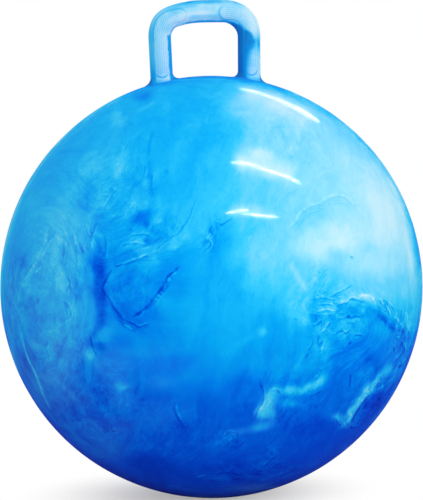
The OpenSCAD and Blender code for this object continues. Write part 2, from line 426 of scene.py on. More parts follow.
# Soft patches: middle, half width, half height, turn in degrees, tone, strength and haze
PATCHES = (
    # Broad grounds
    (335, 195, 95, 95, -20, 0.84, 0.95, 0.0),
    (300, 285, 60, 30, 0, 0.74, 0.8, 0.0),
    (388, 285, 40, 26, 0, 0.78, 0.9, 0.0),
    (245, 348, 62, 30, 0, 0.60, 0.7, 0.0),
    (205, 378, 62, 20, 0, 0.49, 0.6, 0.0),
    # Left side
    (30, 215, 42, 90, 12, 0.54, 0.6, 0.30),
    (60, 150, 50, 60, -35, 0.54, 0.6, 0.15),
    (92, 165, 12, 56, 38, 0.64, 0.8, 0.10),
    (62, 250, 30, 50, 20, 0.62, 0.7, 0.45),
    (66, 218, 18, 20, 20, 0.70, 0.6, 0.45),
    (38, 202, 10, 14, 20, 0.64, 0.6, 0.2),
    (55, 310, 45, 40, 0, 0.56, 0.6, 0.45),
    # Painted shade: darker down the left limb
    (4, 290, 16, 80, 0, 0.44, 0.9, 0.25),
    (48, 382, 26, 44, 20, 0.36, 0.7, 0.35),
    (62, 352, 20, 30, 10, 0.48, 0.6, 0.35),
    (20, 378, 15, 52, 16, 0.21, 0.95, 0.20),
    (45, 425, 22, 60, 38, 0.23, 0.8, 0.10),
    (98, 228, 18, 18, 20, 0.57, 0.4, 0.03),
    (96, 262, 10, 18, 10, 0.42, 0.9, 0.0),
    (112, 254, 14, 12, -30, 0.47, 0.9, 0.0),
    (128, 292, 20, 28, 0, 0.41, 0.95, 0.0),
    (128, 318, 26, 14, 10, 0.34, 0.8, 0.0),
    (122, 342, 16, 10, 0, 0.37, 0.8, 0.0),
    (152, 316, 18, 14, 0, 0.39, 0.8, 0.0),
    (88, 196, 7, 20, 18, 0.50, 0.6, 0.03),
    (122, 182, 14, 16, 10, 0.50, 0.5, 0.05),
    (118, 121, 7, 9, 0, 0.72, 0.8, 0.04),
    (142, 95, 11, 4.5, -10, 0.42, 0.85, 0.05),
    (127, 120, 6, 14, 12, 0.54, 0.6, 0.05),
    (150, 175, 34, 55, 12, 0.60, 0.6, 0.0),
    (120, 168, 7, 14, 14, 0.71, 0.7, 0.02),
    (136, 204, 12, 16, 45, 0.66, 0.8, 0.05),
    (145, 220, 5, 5, -30, 0.38, 0.9, 0.0),
    (151, 231, 9, 7, 0, 0.50, 0.8, 0.0),
    (138, 219, 16, 4, -18, 0.42, 0.7, 0.0),
    (141, 216, 14, 5, -35, 0.44, 0.8, 0.0),
    (148, 242, 8, 4, 0, 0.44, 0.8, 0.0),
    (150, 249, 20, 9, -15, 0.66, 0.8, 0.05),
    (124, 257, 12, 5, -15, 0.47, 0.8, 0.0),
    (185, 150, 30, 60, 14, 0.61, 0.6, 0.0),
    (63, 233, 6, 6, 0, 0.74, 0.8, 0.3),
    (76.5, 222, 5, 4, 0, 0.72, 0.8, 0.2),
    (57, 246, 6, 11, 6, 0.71, 0.8, 0.35),
    (55, 279, 11, 6, -30, 0.70, 0.8, 0.3),
    (62, 287, 4, 4, 0, 0.68, 0.7, 0.3),
    (49, 257, 4, 4, 0, 0.56, 0.7, 0.3),
    (22, 260, 8, 14, 10, 0.46, 0.8, 0.2),
    (40, 303, 8, 6, -30, 0.50, 0.6, 0.25),
    (38, 288, 8, 8, 0, 0.62, 0.6, 0.3),
    (36, 344, 9, 8, 0, 0.47, 0.7, 0.35),
    (88, 300, 5, 28, 0, 0.56, 0.75, 0.15),
    (46, 318, 22, 10, 0, 0.48, 0.7, 0.3),
    (46, 332, 18, 8, 0, 0.45, 0.6, 0.3),
    (60, 338, 10, 7, 0, 0.40, 0.7, 0.3),
    (78, 348, 8, 12, 0, 0.40, 0.7, 0.2),
    (66, 354, 10, 6, 0, 0.35, 0.8, 0.25),
    (54, 345, 6, 9, 10, 0.50, 0.7, 0.4),
    (50, 378, 12, 8, 10, 0.35, 0.7, 0.3),
    (68, 272, 5, 10, 0, 0.56, 0.7, 0.25),
    (78, 290, 7, 12, 0, 0.47, 0.7, 0.1),
    # Middle
    (164, 277, 12, 30, 38, 0.46, 0.95, 0.0),
    (180, 288, 12, 16, 20, 0.45, 0.7, 0.0),
    (178, 314, 12, 12, 0, 0.48, 0.6, 0.0),
    (196, 322, 30, 34, 12, 0.57, 0.85, 0.0),
    (160, 340, 30, 22, 0, 0.43, 0.7, 0.0),
    (215, 252, 10, 34, 28, 0.54, 0.7, 0.0),
    (201, 212, 16, 44, 26, 0.67, 0.85, 0.0),
    (226, 196, 22, 30, 0, 0.70, 0.7, 0.0),
    (238, 84, 28, 6, 10, 0.72, 0.7, 0.0),
    (262, 200, 34, 36, 0, 0.76, 0.7, 0.0),
    (275, 255, 38, 30, 0, 0.77, 0.9, 0.0),
    (260, 331, 6, 4.5, -35, 0.78, 0.85, 0.05),
    (246, 341, 14, 4, -30, 0.66, 0.8, 0.0),
    (232, 351, 12, 5, -20, 0.57, 0.7, 0.0),
    (236, 318, 22, 22, 0, 0.60, 0.7, 0.0),
    (272, 352, 16, 7, -30, 0.50, 0.6, 0.0),
    # Upper right
    # Partly the pale ground and partly a painted glow below the upper streak of light
    (262, 112, 44, 22, 20, 0.80, 0.85, 0.0),
    (286, 126, 40, 24, 28, 0.92, 0.8, 0.0),
    (262, 148, 34, 22, 0, 0.82, 0.8, 0.0),
    # Painted highlight: the glow over the middle streak of light
    (262, 156, 18, 6, 12, 1.0, 0.8, 0.0),
    (318, 142, 40, 30, 35, 0.82, 0.8, 0.0),
    (355, 178, 44, 24, 48, 0.92, 0.9, 0.0),
    (376, 172, 12, 14, -40, 0.92, 0.7, 0.0),
    (384, 218, 20, 40, -12, 1.0, 1.0, 0.10),
    (404, 240, 9, 26, -8, 0.92, 0.8, 0.05),
    (397, 165, 11, 40, -36, 0.74, 0.95, 0.0),
    (334, 237, 36, 20, -8, 1.0, 0.95, 0.05),
    (310, 214, 28, 12, -30, 0.78, 0.8, 0.0),
    (288, 204, 14, 14, 0, 0.76, 0.6, 0.0),
    (274, 130, 26, 16, 15, 0.78, 0.7, 0.0),
    (306, 152, 30, 18, 0, 0.80, 0.6, 0.0),
    (326, 178, 24, 16, 0, 0.83, 0.5, 0.0),
    (292, 216, 14, 24, 0, 0.77, 0.6, 0.0),
    (320, 236, 14, 10, 0, 0.87, 0.5, 0.0),
    (268, 172, 14, 8, 10, 0.93, 0.6, 0.0),
    # Small differences of tone all over the front
    (276, 350, 34, 24, 0, 0.49, 0.5, 0.0),
    (374, 256, 12, 12, 0, 0.85, 0.5, 0.0),
    (66, 288, 10, 12, 0, 0.58, 0.5, 0.3),
    (94, 288, 6, 12, 0, 0.36, 0.6, 0.0),
    (66, 398, 14, 12, 0, 0.30, 0.6, 0.2),
    (122, 426, 12, 9, 0, 0.16, 0.7, 0.1),
    (94, 426, 12, 8, 20, 0.27, 0.6, 0.1),
    (150, 398, 14, 10, 0, 0.31, 0.6, 0.0),
    (120, 370, 14, 10, 0, 0.31, 0.6, 0.1),
    (346, 398, 12, 10, 0, 0.25, 0.7, 0.0),
    (234, 430, 14, 8, 0, 0.21, 0.6, 0.0),
    (178, 428, 12, 8, 0, 0.17, 0.6, 0.0),
    (262, 398, 10, 12, 0, 0.38, 0.5, 0.0),
    # Pale edge at the right
    (335, 259, 8, 13, -20, 0.78, 0.9, 0.10),
    (378, 262, 36, 16, 0, 0.90, 0.8, 0.05),
    (414, 262, 9, 46, 0, 0.76, 0.9, 0.10),
    (352, 288, 40, 10, 0, 0.73, 0.8, 0.0),
    # Lower right
    (298, 306, 12, 34, 6, 0.72, 0.9, 0.0),
    (316, 284, 14, 8, 0, 0.75, 0.8, 0.0),
    (320, 306, 11, 18, 0, 0.60, 0.7, 0.0),
    (352, 322, 36, 14, -4, 0.57, 0.9, 0.0),
    (364, 313, 12, 7, 20, 0.58, 0.7, 0.0),
    (384, 320, 14, 5, 42, 0.42, 0.6, 0.0),
    (402, 334, 7, 6, 30, 0.32, 0.8, 0.0),
    (318, 318, 6, 8, 0, 0.46, 0.8, 0.0),
    (324, 312, 8, 3, 0, 0.72, 0.7, 0.0),
    (340, 301, 9, 3, 0, 0.80, 0.8, 0.0),
    (355, 320.5, 8, 1.8, -4, 0.68, 0.8, 0.0),
    (405, 318, 10, 20, 10, 0.66, 0.9, 0.0),
    (347, 337, 13, 4.5, -10, 0.69, 0.95, 0.0),
    (352, 357, 34, 20, 0, 0.42, 0.9, 0.0),
    (374, 364, 15, 14, 0, 0.29, 0.85, 0.0),
    (374, 342, 12, 9, 0, 0.42, 0.7, 0.0),
    (398, 345, 11, 26, 14, 0.38, 0.85, 0.05),
    (296, 348, 18, 26, 0, 0.53, 0.8, 0.0),
    (322, 350, 9, 28, 8, 0.60, 0.7, 0.0),
    (348, 384, 16, 20, 12, 0.29, 0.8, 0.0),
    (322, 398, 22, 18, 10, 0.29, 0.7, 0.0),
    (380, 406, 20, 11, -48, 0.13, 0.95, 0.0),
    (240, 396, 22, 26, 0, 0.30, 0.8, 0.0),
    (290, 422, 40, 16, 0, 0.24, 0.9, 0.0),
    (230, 436, 30, 12, -10, 0.30, 0.6, 0.0),
    (322, 448, 50, 12, -22, 0.18, 0.9, 0.0),
    (318, 406, 24, 10, 0, 0.29, 0.7, 0.0),
    (290, 398, 14, 4, 0, 0.46, 0.7, 0.0),
    (318, 428, 30, 10, -10, 0.18, 0.8, 0.0),
    (255, 470, 50, 5, 0, 0.15, 0.7, 0.0),
    (256, 489, 26, 6, -2, 0.20, 0.9, 0.2),
    # Lower left
    (160, 366, 34, 10, 0, 0.37, 0.8, 0.05),
    (152, 352, 28, 6, -6, 0.47, 0.7, 0.05),
    (161, 382, 16, 6, 0, 0.44, 0.7, 0.10),
    (114, 372, 18, 24, 0, 0.33, 0.8, 0.12),
    (204, 402, 20, 20, 0, 0.29, 0.8, 0.0),
    (178, 398, 14, 14, 0, 0.28, 0.7, 0.0),
    (122, 398, 14, 12, 0, 0.27, 0.7, 0.1),
    (156, 412, 30, 20, 0, 0.30, 0.6, 0.05),
    (84, 400, 12, 8, 30, 0.24, 0.9, 0.10),
    (101, 348, 6, 5, 0, 0.26, 0.9, 0.0),
    (96, 432, 34, 20, 30, 0.28, 0.7, 0.10),
    (108, 452, 20, 14, 20, 0.24, 0.7, 0.10),
    (60, 432, 12, 14, 38, 0.19, 0.7, 0.05),
    (156, 469, 34, 14, 12, 0.12, 1.0, 0.0),
    (204, 470, 14, 8, 0, 0.18, 0.8, 0.0),
    # The drift with a bend at each end
    (324, 374, 7, 13, 38, 0.50, 0.7, 0.0),
    (310, 385, 12, 5, -28, 0.58, 0.85, 0.0),
    (292, 389.5, 12, 4, -6, 0.74, 0.9, 0.05),
    (276, 392, 9, 6, -40, 0.62, 0.9, 0.05),
    (285, 402, 16, 5, 4, 0.46, 0.8, 0.0),
    (269, 399, 7, 10, 14, 0.74, 0.95, 0.25),
    (265, 410, 8, 9, 22, 0.80, 0.95, 0.35),
    (270, 414, 7, 6, 0, 0.66, 0.7, 0.2),
    (262, 426, 15, 5, -14, 0.52, 0.9, 0.1),
    (240, 431, 14, 3, -4, 0.38, 0.7, 0.1),
    # The slanting streak at the lower right
    (337, 417, 6, 4, 30, 0.56, 0.8, 0.1),
    (388, 370, 4, 6, 38, 0.74, 0.9, 0.1),
    (380, 379, 4, 7, 38, 0.66, 0.9, 0.1),
    (369, 389, 4.5, 8, 38, 0.86, 0.9, 0.2),
    (361, 400, 4.5, 8, 38, 0.80, 0.9, 0.2),
    (353, 412, 4.5, 7, 38, 0.84, 0.9, 0.25),
    (346, 422, 6, 6, 38, 0.66, 0.9, 0.15),
)

# Streaks: their line, half width in millimetres, tone, strength and haze
STREAKS = (
    (((97, 250), (100, 266), (102, 290), (102, 316), (97, 338)), 6.5, 0.22, 0.95, 0.0),
    (((97, 262), (97, 290), (98, 316)), 2.6, 0.24, 0.7, 0.0),
    (((155, 100), (148, 106), (135, 112)), 5, 0.68, 0.6, 0.1),
    (((153, 128), (150, 142), (148, 158)), 1.6, 0.46, 0.6, 0.0),
    (((150, 158), (149, 180), (153, 200)), 2.5, 0.48, 0.5, 0.0),
    (((48, 221), (42.5, 250), (33, 266), (23.5, 280)), 3, 0.70, 0.7, 0.4),
    (((129, 220), (138, 219), (147, 214), (155, 209.5)), 3.5, 0.40, 0.7, 0.0),
    (((96, 234), (99, 246), (101, 260)), 2.5, 0.36, 0.6, 0.0),
    (((60, 225), (66, 245), (64, 270)), 2.5, 0.50, 0.5, 0.3),
    (((289.5, 260), (298, 276), (305.6, 287.5), (309, 292.7)), 2.5, 0.84, 0.8, 0.0),
    (((96, 350), (90, 340), (96, 330), (100, 324)), 3, 0.25, 0.6, 0.0),
    (((14, 345), (22, 368), (31, 388), (42, 408)), 4, 0.24, 0.6, 0.2),
    (((405, 371), (394, 394), (378, 418), (358, 438)), 7, 0.10, 0.8, 0.0),
    (((25, 343), (32, 360), (41, 378), (48, 396)), 3, 0.30, 0.6, 0.2),
    (((19, 327), (20.4, 334), (22.6, 343), (27.5, 358), (36, 376), (41, 390), (46, 402), (53, 413)),
     1.8, 0.70, 0.95, 0.5),
    (((42, 358), (58, 380), (78, 403)), 4, 0.44, 0.5, 0.35),
    (((317.5, 308), (331.6, 306.7), (345.6, 302.5), (357, 298), (368, 297), (373.8, 302.5),
      (382, 306), (389, 313)),
     1.8, 0.74, 0.6, 0.05),
    (((358, 298), (366, 296.8), (372, 299.5), (374.5, 304.5)), 2.2, 0.98, 0.9, 0.2),
    (((374, 306), (384, 316), (395, 328)), 3.5, 0.38, 0.7, 0.0),
    (((327, 315), (318, 330), (312, 353)), 4, 0.62, 0.6, 0.0),
    (((336, 336), (348, 332), (360, 338)), 4, 0.66, 0.6, 0.0),
    (((394, 362), (388, 369), (379, 378), (368, 390), (360, 401), (353, 412), (346, 422), (341, 430)),
     6.5, 0.70, 0.6, 0.1),
    (((66, 215), (75, 188), (90, 166), (108, 146), (120, 126), (136, 108)), 6, 0.67, 0.7, 0.15),
    (((120, 226), (130, 208), (142, 192), (150, 176)), 5, 0.67, 0.7, 0.05),
    (((161, 262), (172, 250), (186, 236), (196, 214)), 3.5, 0.68, 0.6, 0.0),
    (((398, 380), (387, 393), (376, 406), (366, 420)), 5, 0.19, 0.7, 0.0),
    (((209, 470), (240, 474), (303, 468)), 2, 0.02, 0.5, 0.0),
    (((163, 81.5), (190, 79.5), (225, 79.5), (244, 81.5)), 4, 0.66, 0.8, 0.0),
    (((384, 168), (398, 200), (406, 232), (411, 262), (411, 290)), 11, 0.93, 0.9, 0.0),
    (((338, 124), (360, 142), (378, 162)), 8, 0.80, 0.7, 0.0),
    # Painted highlight: glow round the streaks of reflected light
    (((236, 91), (255, 94.5), (270, 99), (285, 106), (300, 113), (318, 123)), 22, 1.0, 0.8, 0.0),
    (((228, 162), (246, 162), (262, 165), (280, 170), (299, 179)), 11, 1.0, 0.85, 0.0),
    (((226, 211), (246, 210), (262, 213), (280, 217)), 6, 0.90, 0.75, 0.0),
    # Pale ground at the foot, and the arms of the drift
    (((233, 487), (258, 489), (284, 485)), 4, 0.26, 0.7, 0.2),
    (((282, 393), (291, 391.5), (302, 389.5), (313, 386), (322, 380), (327, 371)), 5.5, 0.70, 0.85, 0.03),
    (((274, 400), (286, 402), (300, 402)), 4, 0.52, 0.6, 0.03),
    (((276, 387), (272, 392)), 4, 0.66, 0.8, 0.1),
)

# Soft round marks: middle, radius in millimetres, tone, strength and haze
SPOTS = (
    (167, 172, 2, 0.36, 0.7, 0.0),
    (111, 191, 2, 0.36, 0.7, 0.0),
    (88.8, 354, 5.2, 0.66, 1.0, 0.30),
    (103, 333, 7, 0.54, 0.8, 0.1),
    (98, 364, 7, 0.42, 0.6, 0.2),
    (117, 385.5, 4.5, 0.56, 0.9, 0.2),
    (121.5, 384.5, 4, 0.56, 0.9, 0.2),
    (126, 384.5, 3, 0.50, 0.8, 0.2),
    (112, 429, 4, 0.36, 0.6, 0.2),
    (118, 121, 6, 0.74, 0.6, 0.04),
    (146, 224.5, 3.2, 0.28, 0.8, 0.0),
    (147, 241, 3, 0.38, 0.8, 0.0),
    (296, 320.5, 1.3, 0.38, 0.6, 0.0),
    (352, 257, 1.3, 0.50, 0.8, 0.0),
    (337, 416, 4, 0.60, 0.6, 0.1),
    (351, 417, 3.5, 0.80, 0.8, 0.1),
    (357, 408, 3, 0.84, 0.8, 0.1),
    (368, 393, 3, 0.82, 0.8, 0.1),
    (345, 424, 4, 0.72, 0.7, 0.1),
)

# Creases in the skin: their line, half width in millimetres, and depths of the dark and the light line,
# which are partly the vinyl's veins and partly painted shade and highlight
CREASES = (
    (((47.7, 223.9), (44.9, 233.7), (42.1, 242.1)), 1.3, 0.1, 0.7),
    (((54.7, 233), (49.8, 239.3), (45.6, 246.3), (42.5, 253.3), (37.9, 260.4)), 1.3, 0.15, 0.8),
    (((36, 260), (30.2, 268.1), (26, 274.4), (24.2, 279.3)), 1.2, 0.5, 0.8),
    (((42, 259.6), (39.3, 266), (34.4, 271.6)), 1.0, 0.4, 0.6),
    (((13.3, 270.2), (13.7, 277.2), (14.7, 282.1)), 1.8, 0.2, 0.5),
    (((56, 229.5), (52.6, 237.9)), 1.0, 0.5, 0.2),
    (((78.6, 242.8), (81.4, 247.7), (83, 254)), 1.6, 0.6, 0.2),
    (((67.4, 274.4), (69.1, 282.8), (67.4, 288), (65.3, 292)), 1.2, 0.6, 0.5),
    (((39.3, 298.2), (35.8, 305.3)), 2.0, 0.5, 0.3),
    (((73.7, 291), (75.8, 297), (74, 304)), 1.4, 0.5, 0.4),
    (((64, 240), (64, 255), (61, 268)), 1.2, 0.4, 0.4),
    (((72, 232), (76, 250), (77, 268)), 1.2, 0.3, 0.4),
    (((84, 222), (88, 234), (90, 250)), 1.2, 0.5, 0.3),
    (((97, 222), (93, 231), (90, 244)), 1.2, 0.5, 0.3),
    (((104, 236), (106, 246), (103, 258)), 1.4, 0.5, 0.2),
    (((60, 300), (68, 306), (70, 316), (62, 322)), 1.2, 0.35, 0.4),
    (((50, 338), (46, 346), (48, 356)), 1.2, 0.4, 0.5),
    (((145.7, 165.7), (144.6, 176.5)), 1.0, 0.5, 0.2),
    (((152.2, 174.3), (151.1, 193.9)), 1.0, 0.3, 0.2),
    (((124, 152), (131, 138)), 1.1, 0.2, 0.15),
    (((104, 210), (112, 196), (118, 186)), 1.1, 0.25, 0.2),
    (((130, 236), (142, 234), (150, 238)), 1.0, 0.35, 0.3),
    (((122, 246), (134, 243), (146, 246)), 1.0, 0.35, 0.3),
    (((195.7, 478.9), (208.7, 475.7)), 1.4, 0.3, 0.6),
    (((111, 427), (113, 432), (117, 431)), 1.2, 0.6, 0.4),
    (((196.5, 198), (193, 207), (190.6, 215), (180, 230), (161, 246), (155, 255)), 0.9, 0.35, 0.15),
    (((113, 267), (127.6, 264), (139, 259), (150, 255)), 1.1, 0.6, 0.5),
    (((113, 267), (105.6, 280), (102.6, 289), (109, 299), (113.6, 308), (120.6, 316.5), (126, 322)),
     1.3, 0.7, 0.35),
    (((126, 322), (133, 323.5), (139, 327.5), (149, 324)), 1.1, 0.6, 0.6),
    (((180.4, 264), (168.7, 277), (160, 289), (155.7, 295), (148.7, 305), (140.3, 312), (130.4, 318)),
     1.25, 0.85, 0.55),
    (((172, 281), (163, 292), (156, 301), (148, 309)), 0.9, 0.3, 0.4),
    (((118, 318), (124, 326), (131, 330), (137, 333)), 1.0, 0.4, 0.6),
    (((90, 336), (92.6, 347), (98, 358.5)), 1.0, 0.6, 0.3),
    (((213.5, 224), (209.5, 230), (213, 233), (207.5, 240), (211.5, 243), (206, 250), (203, 254)),
     0.8, 0.5, 0.4),
    (((213.7, 220), (222.5, 225), (232.7, 217.5)), 0.9, 0.45, 0.2),
    (((286.6, 233.5), (298.3, 220.4), (307, 210), (321.6, 203.6), (330.4, 197.8), (339, 196.3),
      (348, 200.7), (355, 205.8), (365.4, 205)), 1.5, 0.14, 0.26),
    (((290, 237), (299, 226), (308, 216), (321, 209), (331, 204), (342, 203), (352, 209)), 1.2, 0.12, 0.20),
    (((322, 300), (333, 296), (345, 289), (352, 285)), 1.0, 0.45, 0.3),
    (((336, 306.4), (342.8, 304.1), (347.4, 303.4), (350.5, 299.5), (355.9, 299.9),
      (360.4, 302.2), (365, 301.4)),
     1.2, 0.7, 0.3),
    (((314, 300), (324, 298), (333, 300), (342, 297)), 1.1, 0.4, 0.4),
    (((318, 306), (326, 304.5), (334, 306)), 1.0, 0.4, 0.5),
    (((316, 314), (325, 311), (334, 311.5), (344, 309)), 1.0, 0.4, 0.4),
    (((312.2, 326.3), (317.6, 324), (322.2, 320.2)), 1.1, 0.5, 0.4),
    (((320.7, 334), (326, 328.6), (330, 322)), 1.1, 0.45, 0.5),
    (((319.5, 332), (318.4, 338.6), (318, 343.1), (317, 348)), 1.0, 0.45, 0.5),
    (((306.9, 351.6), (311.5, 346.2), (313, 340)), 1.1, 0.5, 0.5),
    (((305.5, 358), (308, 353.5)), 1.2, 0.5, 0.5),
    (((323, 341), (320.5, 347), (319, 353)), 1.2, 0.5, 0.5),
    (((345.9, 318.3), (349.7, 317.1), (352, 318.3), (355.1, 316.4), (359.7, 316.4)), 1.1, 0.8, 0.4),
    (((332.9, 337), (336.7, 333.2), (341.3, 330.9), (345.1, 333.2), (349.7, 330.1)), 1.2, 0.7, 0.4),
    (((352.8, 337.8), (357.4, 335.9), (362.7, 335.1)), 1.0, 0.7, 0.5),
    (((348.5, 343.6), (350.1, 343.5), (352, 343.2)), 1.5, 0.8, 0.0),
    (((359.7, 298.6), (365.8, 297.4), (371.2, 298.6), (373.4, 302.4), (374.2, 306)), 1.4, 0.4, 0.5),
    (((378.8, 300.3), (383.4, 304.9), (388, 310.2), (390.3, 315.6)), 1.3, 0.6, 0.6),
    (((384, 300), (390, 305), (395, 311)), 1.2, 0.4, 0.3),
    (((371.9, 306.4), (376.5, 313.3), (384.2, 319.4), (388, 324), (394.1, 328.6), (402.5, 330.9),
      (407, 336)),
     2.6, 0.5, 0.2),
    (((394.1, 317.9), (398.7, 322.5), (401, 327.1)), 1.4, 0.3, 0.8),
    (((401.8, 309.5), (402, 314), (401.8, 319.4)), 1.8, 0.3, 0.6),
    (((406.4, 327.8), (409.4, 335.5)), 2.0, 0.4, 0.6),
    (((393.3, 335.5), (396, 337), (398.7, 340.1)), 1.6, 0.5, 0.7),
    (((413, 340.1), (411, 346.2), (409.4, 351.6)), 2.4, 0.5, 0.8),
    (((401, 343), (405, 349), (404, 356)), 1.8, 0.6, 0.6),
    (((394.9, 362.3), (399.5, 356.9), (402.5, 353.9)), 1.8, 0.5, 0.6),
    (((398.7, 366.1), (404.8, 363.4)), 2.0, 0.8, 0.6),
    (((393, 346), (395, 352), (394, 358)), 1.4, 0.4, 0.4),
    (((318.4, 367), (318.6, 371)), 1.6, 0.8, 0.2),
    (((315.3, 379.9), (319.9, 373.8)), 1.4, 0.6, 0.6),
    (((309, 396), (315, 394.4), (321.4, 391)), 1.2, 0.3, 0.3),
    (((350.5, 373), (350.5, 378.3), (349, 389)), 1.3, 0.7, 0.3),
    (((173.9, 402), (175.3, 413), (183.7, 428.7)), 1.4, 0.45, 0.65),
    (((258, 380), (263, 389), (263, 397), (261, 405), (257, 414), (254, 421)), 1.2, 0.6, 0.4),
    (((272, 392), (277, 391), (281, 394)), 1.2, 0.5, 0.4),
    (((387.2, 376.8), (379.6, 381.4), (375.7, 386.8), (368.9, 395.2), (362, 405), (355, 416), (351, 424)),
     2.4, 0.9, 0.3),
    (((391.8, 376.8), (384.2, 383.7), (377.3, 387.6), (371.2, 396)), 1.6, 0.3, 0.7),
    (((381, 376), (377, 380)), 1.6, 0.5, 0.8),
    (((372, 386), (367, 391)), 1.6, 0.5, 1.0),
    (((365, 393), (361, 400)), 1.6, 0.5, 1.0),
    (((358, 404), (355, 410)), 1.6, 0.6, 0.9),
    (((350, 414), (347, 421)), 1.6, 0.6, 0.8),
    (((343, 418), (347, 424), (353, 428), (359, 426)), 1.5, 0.7, 0.6),
    (((333, 418), (338, 422), (342, 427)), 1.4, 0.6, 0.5),
    (((223, 437), (230, 432), (238, 433)), 1.0, 0.4, 0.4),
    (((226, 446), (233, 440), (241, 438)), 1.0, 0.4, 0.4),
    (((264, 468), (270, 461), (277, 455)), 1.2, 0.5, 0.5),
    (((268, 470), (275, 465), (281, 462)), 1.0, 0.4, 0.4),
    (((209, 475), (230, 473), (255, 478), (280, 475), (303, 468)), 1.2, 0.3, 0.3),
)

# Centres that the wisps run round, and the soft patches where they do: centre, middle, half width,
# half height and strength
SWIRLS = (
    (235, 300, 40, 300, 60, 130, 0.8),
    (356, 372, 350, 316, 62, 40, 0.9),
    (140, 292, 140, 292, 46, 44, 0.8),
    (330, 262, 335, 210, 60, 30, 0.7),
    (250, 494, 255, 470, 90, 20, 0.8),
)

# Wrinkled ground: middle, half width, half height, turn in degrees and strength of the wisps
WISPS = (
    (66, 262, 50, 66, 16, 0.8),
    (20, 300, 22, 60, 0, 1.0),
    (60, 345, 46, 52, 0, 1.0),
    (110, 200, 60, 60, -20, 0.55),
    (150, 240, 40, 30, -20, 0.85),
    (100, 400, 60, 50, 20, 0.8),
    (170, 430, 70, 40, 0, 0.45),
    (130, 290, 40, 40, 0, 0.6),
    (345, 360, 60, 22, 0, 0.7),
    (345, 320, 56, 34, 10, 0.75),
    (318, 300, 14, 36, 0, 0.9),
    (402, 345, 18, 40, 10, 1.0),
    (370, 392, 30, 44, 36, 0.9),
    (285, 400, 56, 34, 0, 0.7),
    (290, 140, 44, 44, 0, 0.30),
    (335, 210, 50, 34, 0, 0.15),
    (250, 474, 60, 16, 0, 0.8),
    (228, 440, 20, 14, 0, 0.9),
    (272, 452, 10, 18, 0, 0.8),
    (210, 240, 10, 26, 24, 0.9),
)


# How far noise stirs the patches, in pixels, and the size below which a patch is stirred less
STIR_WIDE = 9
STIR_FINE = 3.5
STIR_CURL = 1.2
LOOSE_SIZE = 26
# How far noise stirs the lines and the clouds behind the limb
STIR_LINE = 1.1 * MM
STIR_CLOUD = 40 * MM

# Noise: how its finer octaves fade and shrink, and how far apart two seeds lie
NOISE_FADE = 0.9
NOISE_STEP = 2.1
SEED_SHIFT = (7.3, 3.1, 5.7)

# Behind the limb the photograph gives no pattern: height in ball radii and tone
FAR_TONES = ((-1, 0.05), (-0.75, 0.18), (-0.4, 0.40), (0.1, 0.58), (0.6, 0.62), (1, 0.57))
FAR_HAZE = 0.25

# Creases and streaks reach no further than this
LINE_REACH = 40 * MM
# Away from the swirls the wisps lean by this much
WISP_LEAN = math.radians(26)


def softly_inside(px, py, x, y, half_w, half_h, turn):
    """1 at the middle of a turned ellipse, falling softly to 0 past its edge."""
    cosine, sine = math.cos(math.radians(turn)), math.sin(math.radians(turn))
    across = ((px - x) * cosine + (py - y) * sine) / half_w
    along = (-(px - x) * sine + (py - y) * cosine) / half_h
    return np.exp(-1.1 * (across ** 2 + along ** 2) ** 1.4)


def rounded(line):
    """A smooth curve through the places of a line, as points on the ball."""
    ends = [np.array(photo.on_ball(*p)) for p in line]
    ends = [2 * ends[0] - ends[1]] + ends + [2 * ends[-1] - ends[-2]]
    curve = []
    for a, b, c, d in zip(ends, ends[1:], ends[2:], ends[3:]):
        for t in (0, 0.25, 0.5, 0.75):
            bend = 2 * a - 5 * b + 4 * c - d + t * (3 * b - a - 3 * c + d)
            curve.append(b + 0.5 * t * (c - a + t * bend))
    return curve + [ends[-2]]


def line_distance(points, outward, line):
    """Distance to a line on the ball, signed by its side, and how far along it each point lies."""
    curve = rounded(line)
    low, high = np.min(curve, axis=0) - LINE_REACH, np.max(curve, axis=0) + LINE_REACH
    near = np.all((points > low) & (points < high), axis=1)
    close, outward = points[near], outward[near]
    best = np.full(len(close), 1e9)
    side = np.ones(len(close))
    along = np.zeros(len(close))
    total = sum(np.linalg.norm(b - a) for a, b in zip(curve, curve[1:]))
    walked = 0
    for a, b in zip(curve, curve[1:]):
        step = b - a
        t = np.clip((close - a) @ step / (step @ step), 0, 1)
        away = close - a - t[:, None] * step
        distance = np.linalg.norm(away, axis=1)
        nearer = distance < best
        best = np.where(nearer, distance, best)
        side = np.where(nearer, np.sign(np.sum(np.cross(step, away) * outward, axis=1)), side)
        along = np.where(nearer, (walked + t * np.linalg.norm(step)) / total, along)
        walked += np.linalg.norm(step)
    found = np.zeros((3, len(points)))
    found[0] = 1
    found[:, near] = best, side, along
    return found


def noise_field(points, scale, octaves, seed):
    """Fractal noise at each point, about -1 to 1."""
    shift = Vector([seed * part for part in SEED_SHIFT])
    places = (Vector(p) * scale + shift for p in points)
    return np.array([noise.fractal(place, NOISE_FADE, NOISE_STEP, octaves, noise_basis="PERLIN_ORIGINAL")
                     for place in places])


class SkinPoints:
    """The ball's points, where the photograph shows them, and the noises that stir the marbling."""

    def __init__(self, places):
        self.places = places
        self.outward = places - np.array(MIDDLE)
        self.outward /= np.linalg.norm(self.outward, axis=1)[:, None]
        self.px, self.py = photo.pixels(places)
        facing = photo.facing(places, self.outward)
        self.seen = smooth(0.02, 0.30, facing)
        self.front = smooth(-0.02, 0.06, facing)

        self.wide = [noise_field(places, 16, 3, k) for k in range(2)]
        self.fine = [noise_field(places, 55, 3, k + 4) for k in range(2)]
        self.curl = noise_field(places, 110, 2, 31)
        self.cloud = noise_field(places, 6, 2, 11)
        drift = np.stack([self.wide[0], self.wide[1], self.cloud], axis=1)
        self.swirl = noise_field(places + STIR_CLOUD * drift, 13, 3, 17)
        wander = np.stack([self.fine[0] + 0.6 * self.curl, self.fine[1], self.curl - self.fine[0]], axis=1)
        self.stirred = places + STIR_LINE * wander


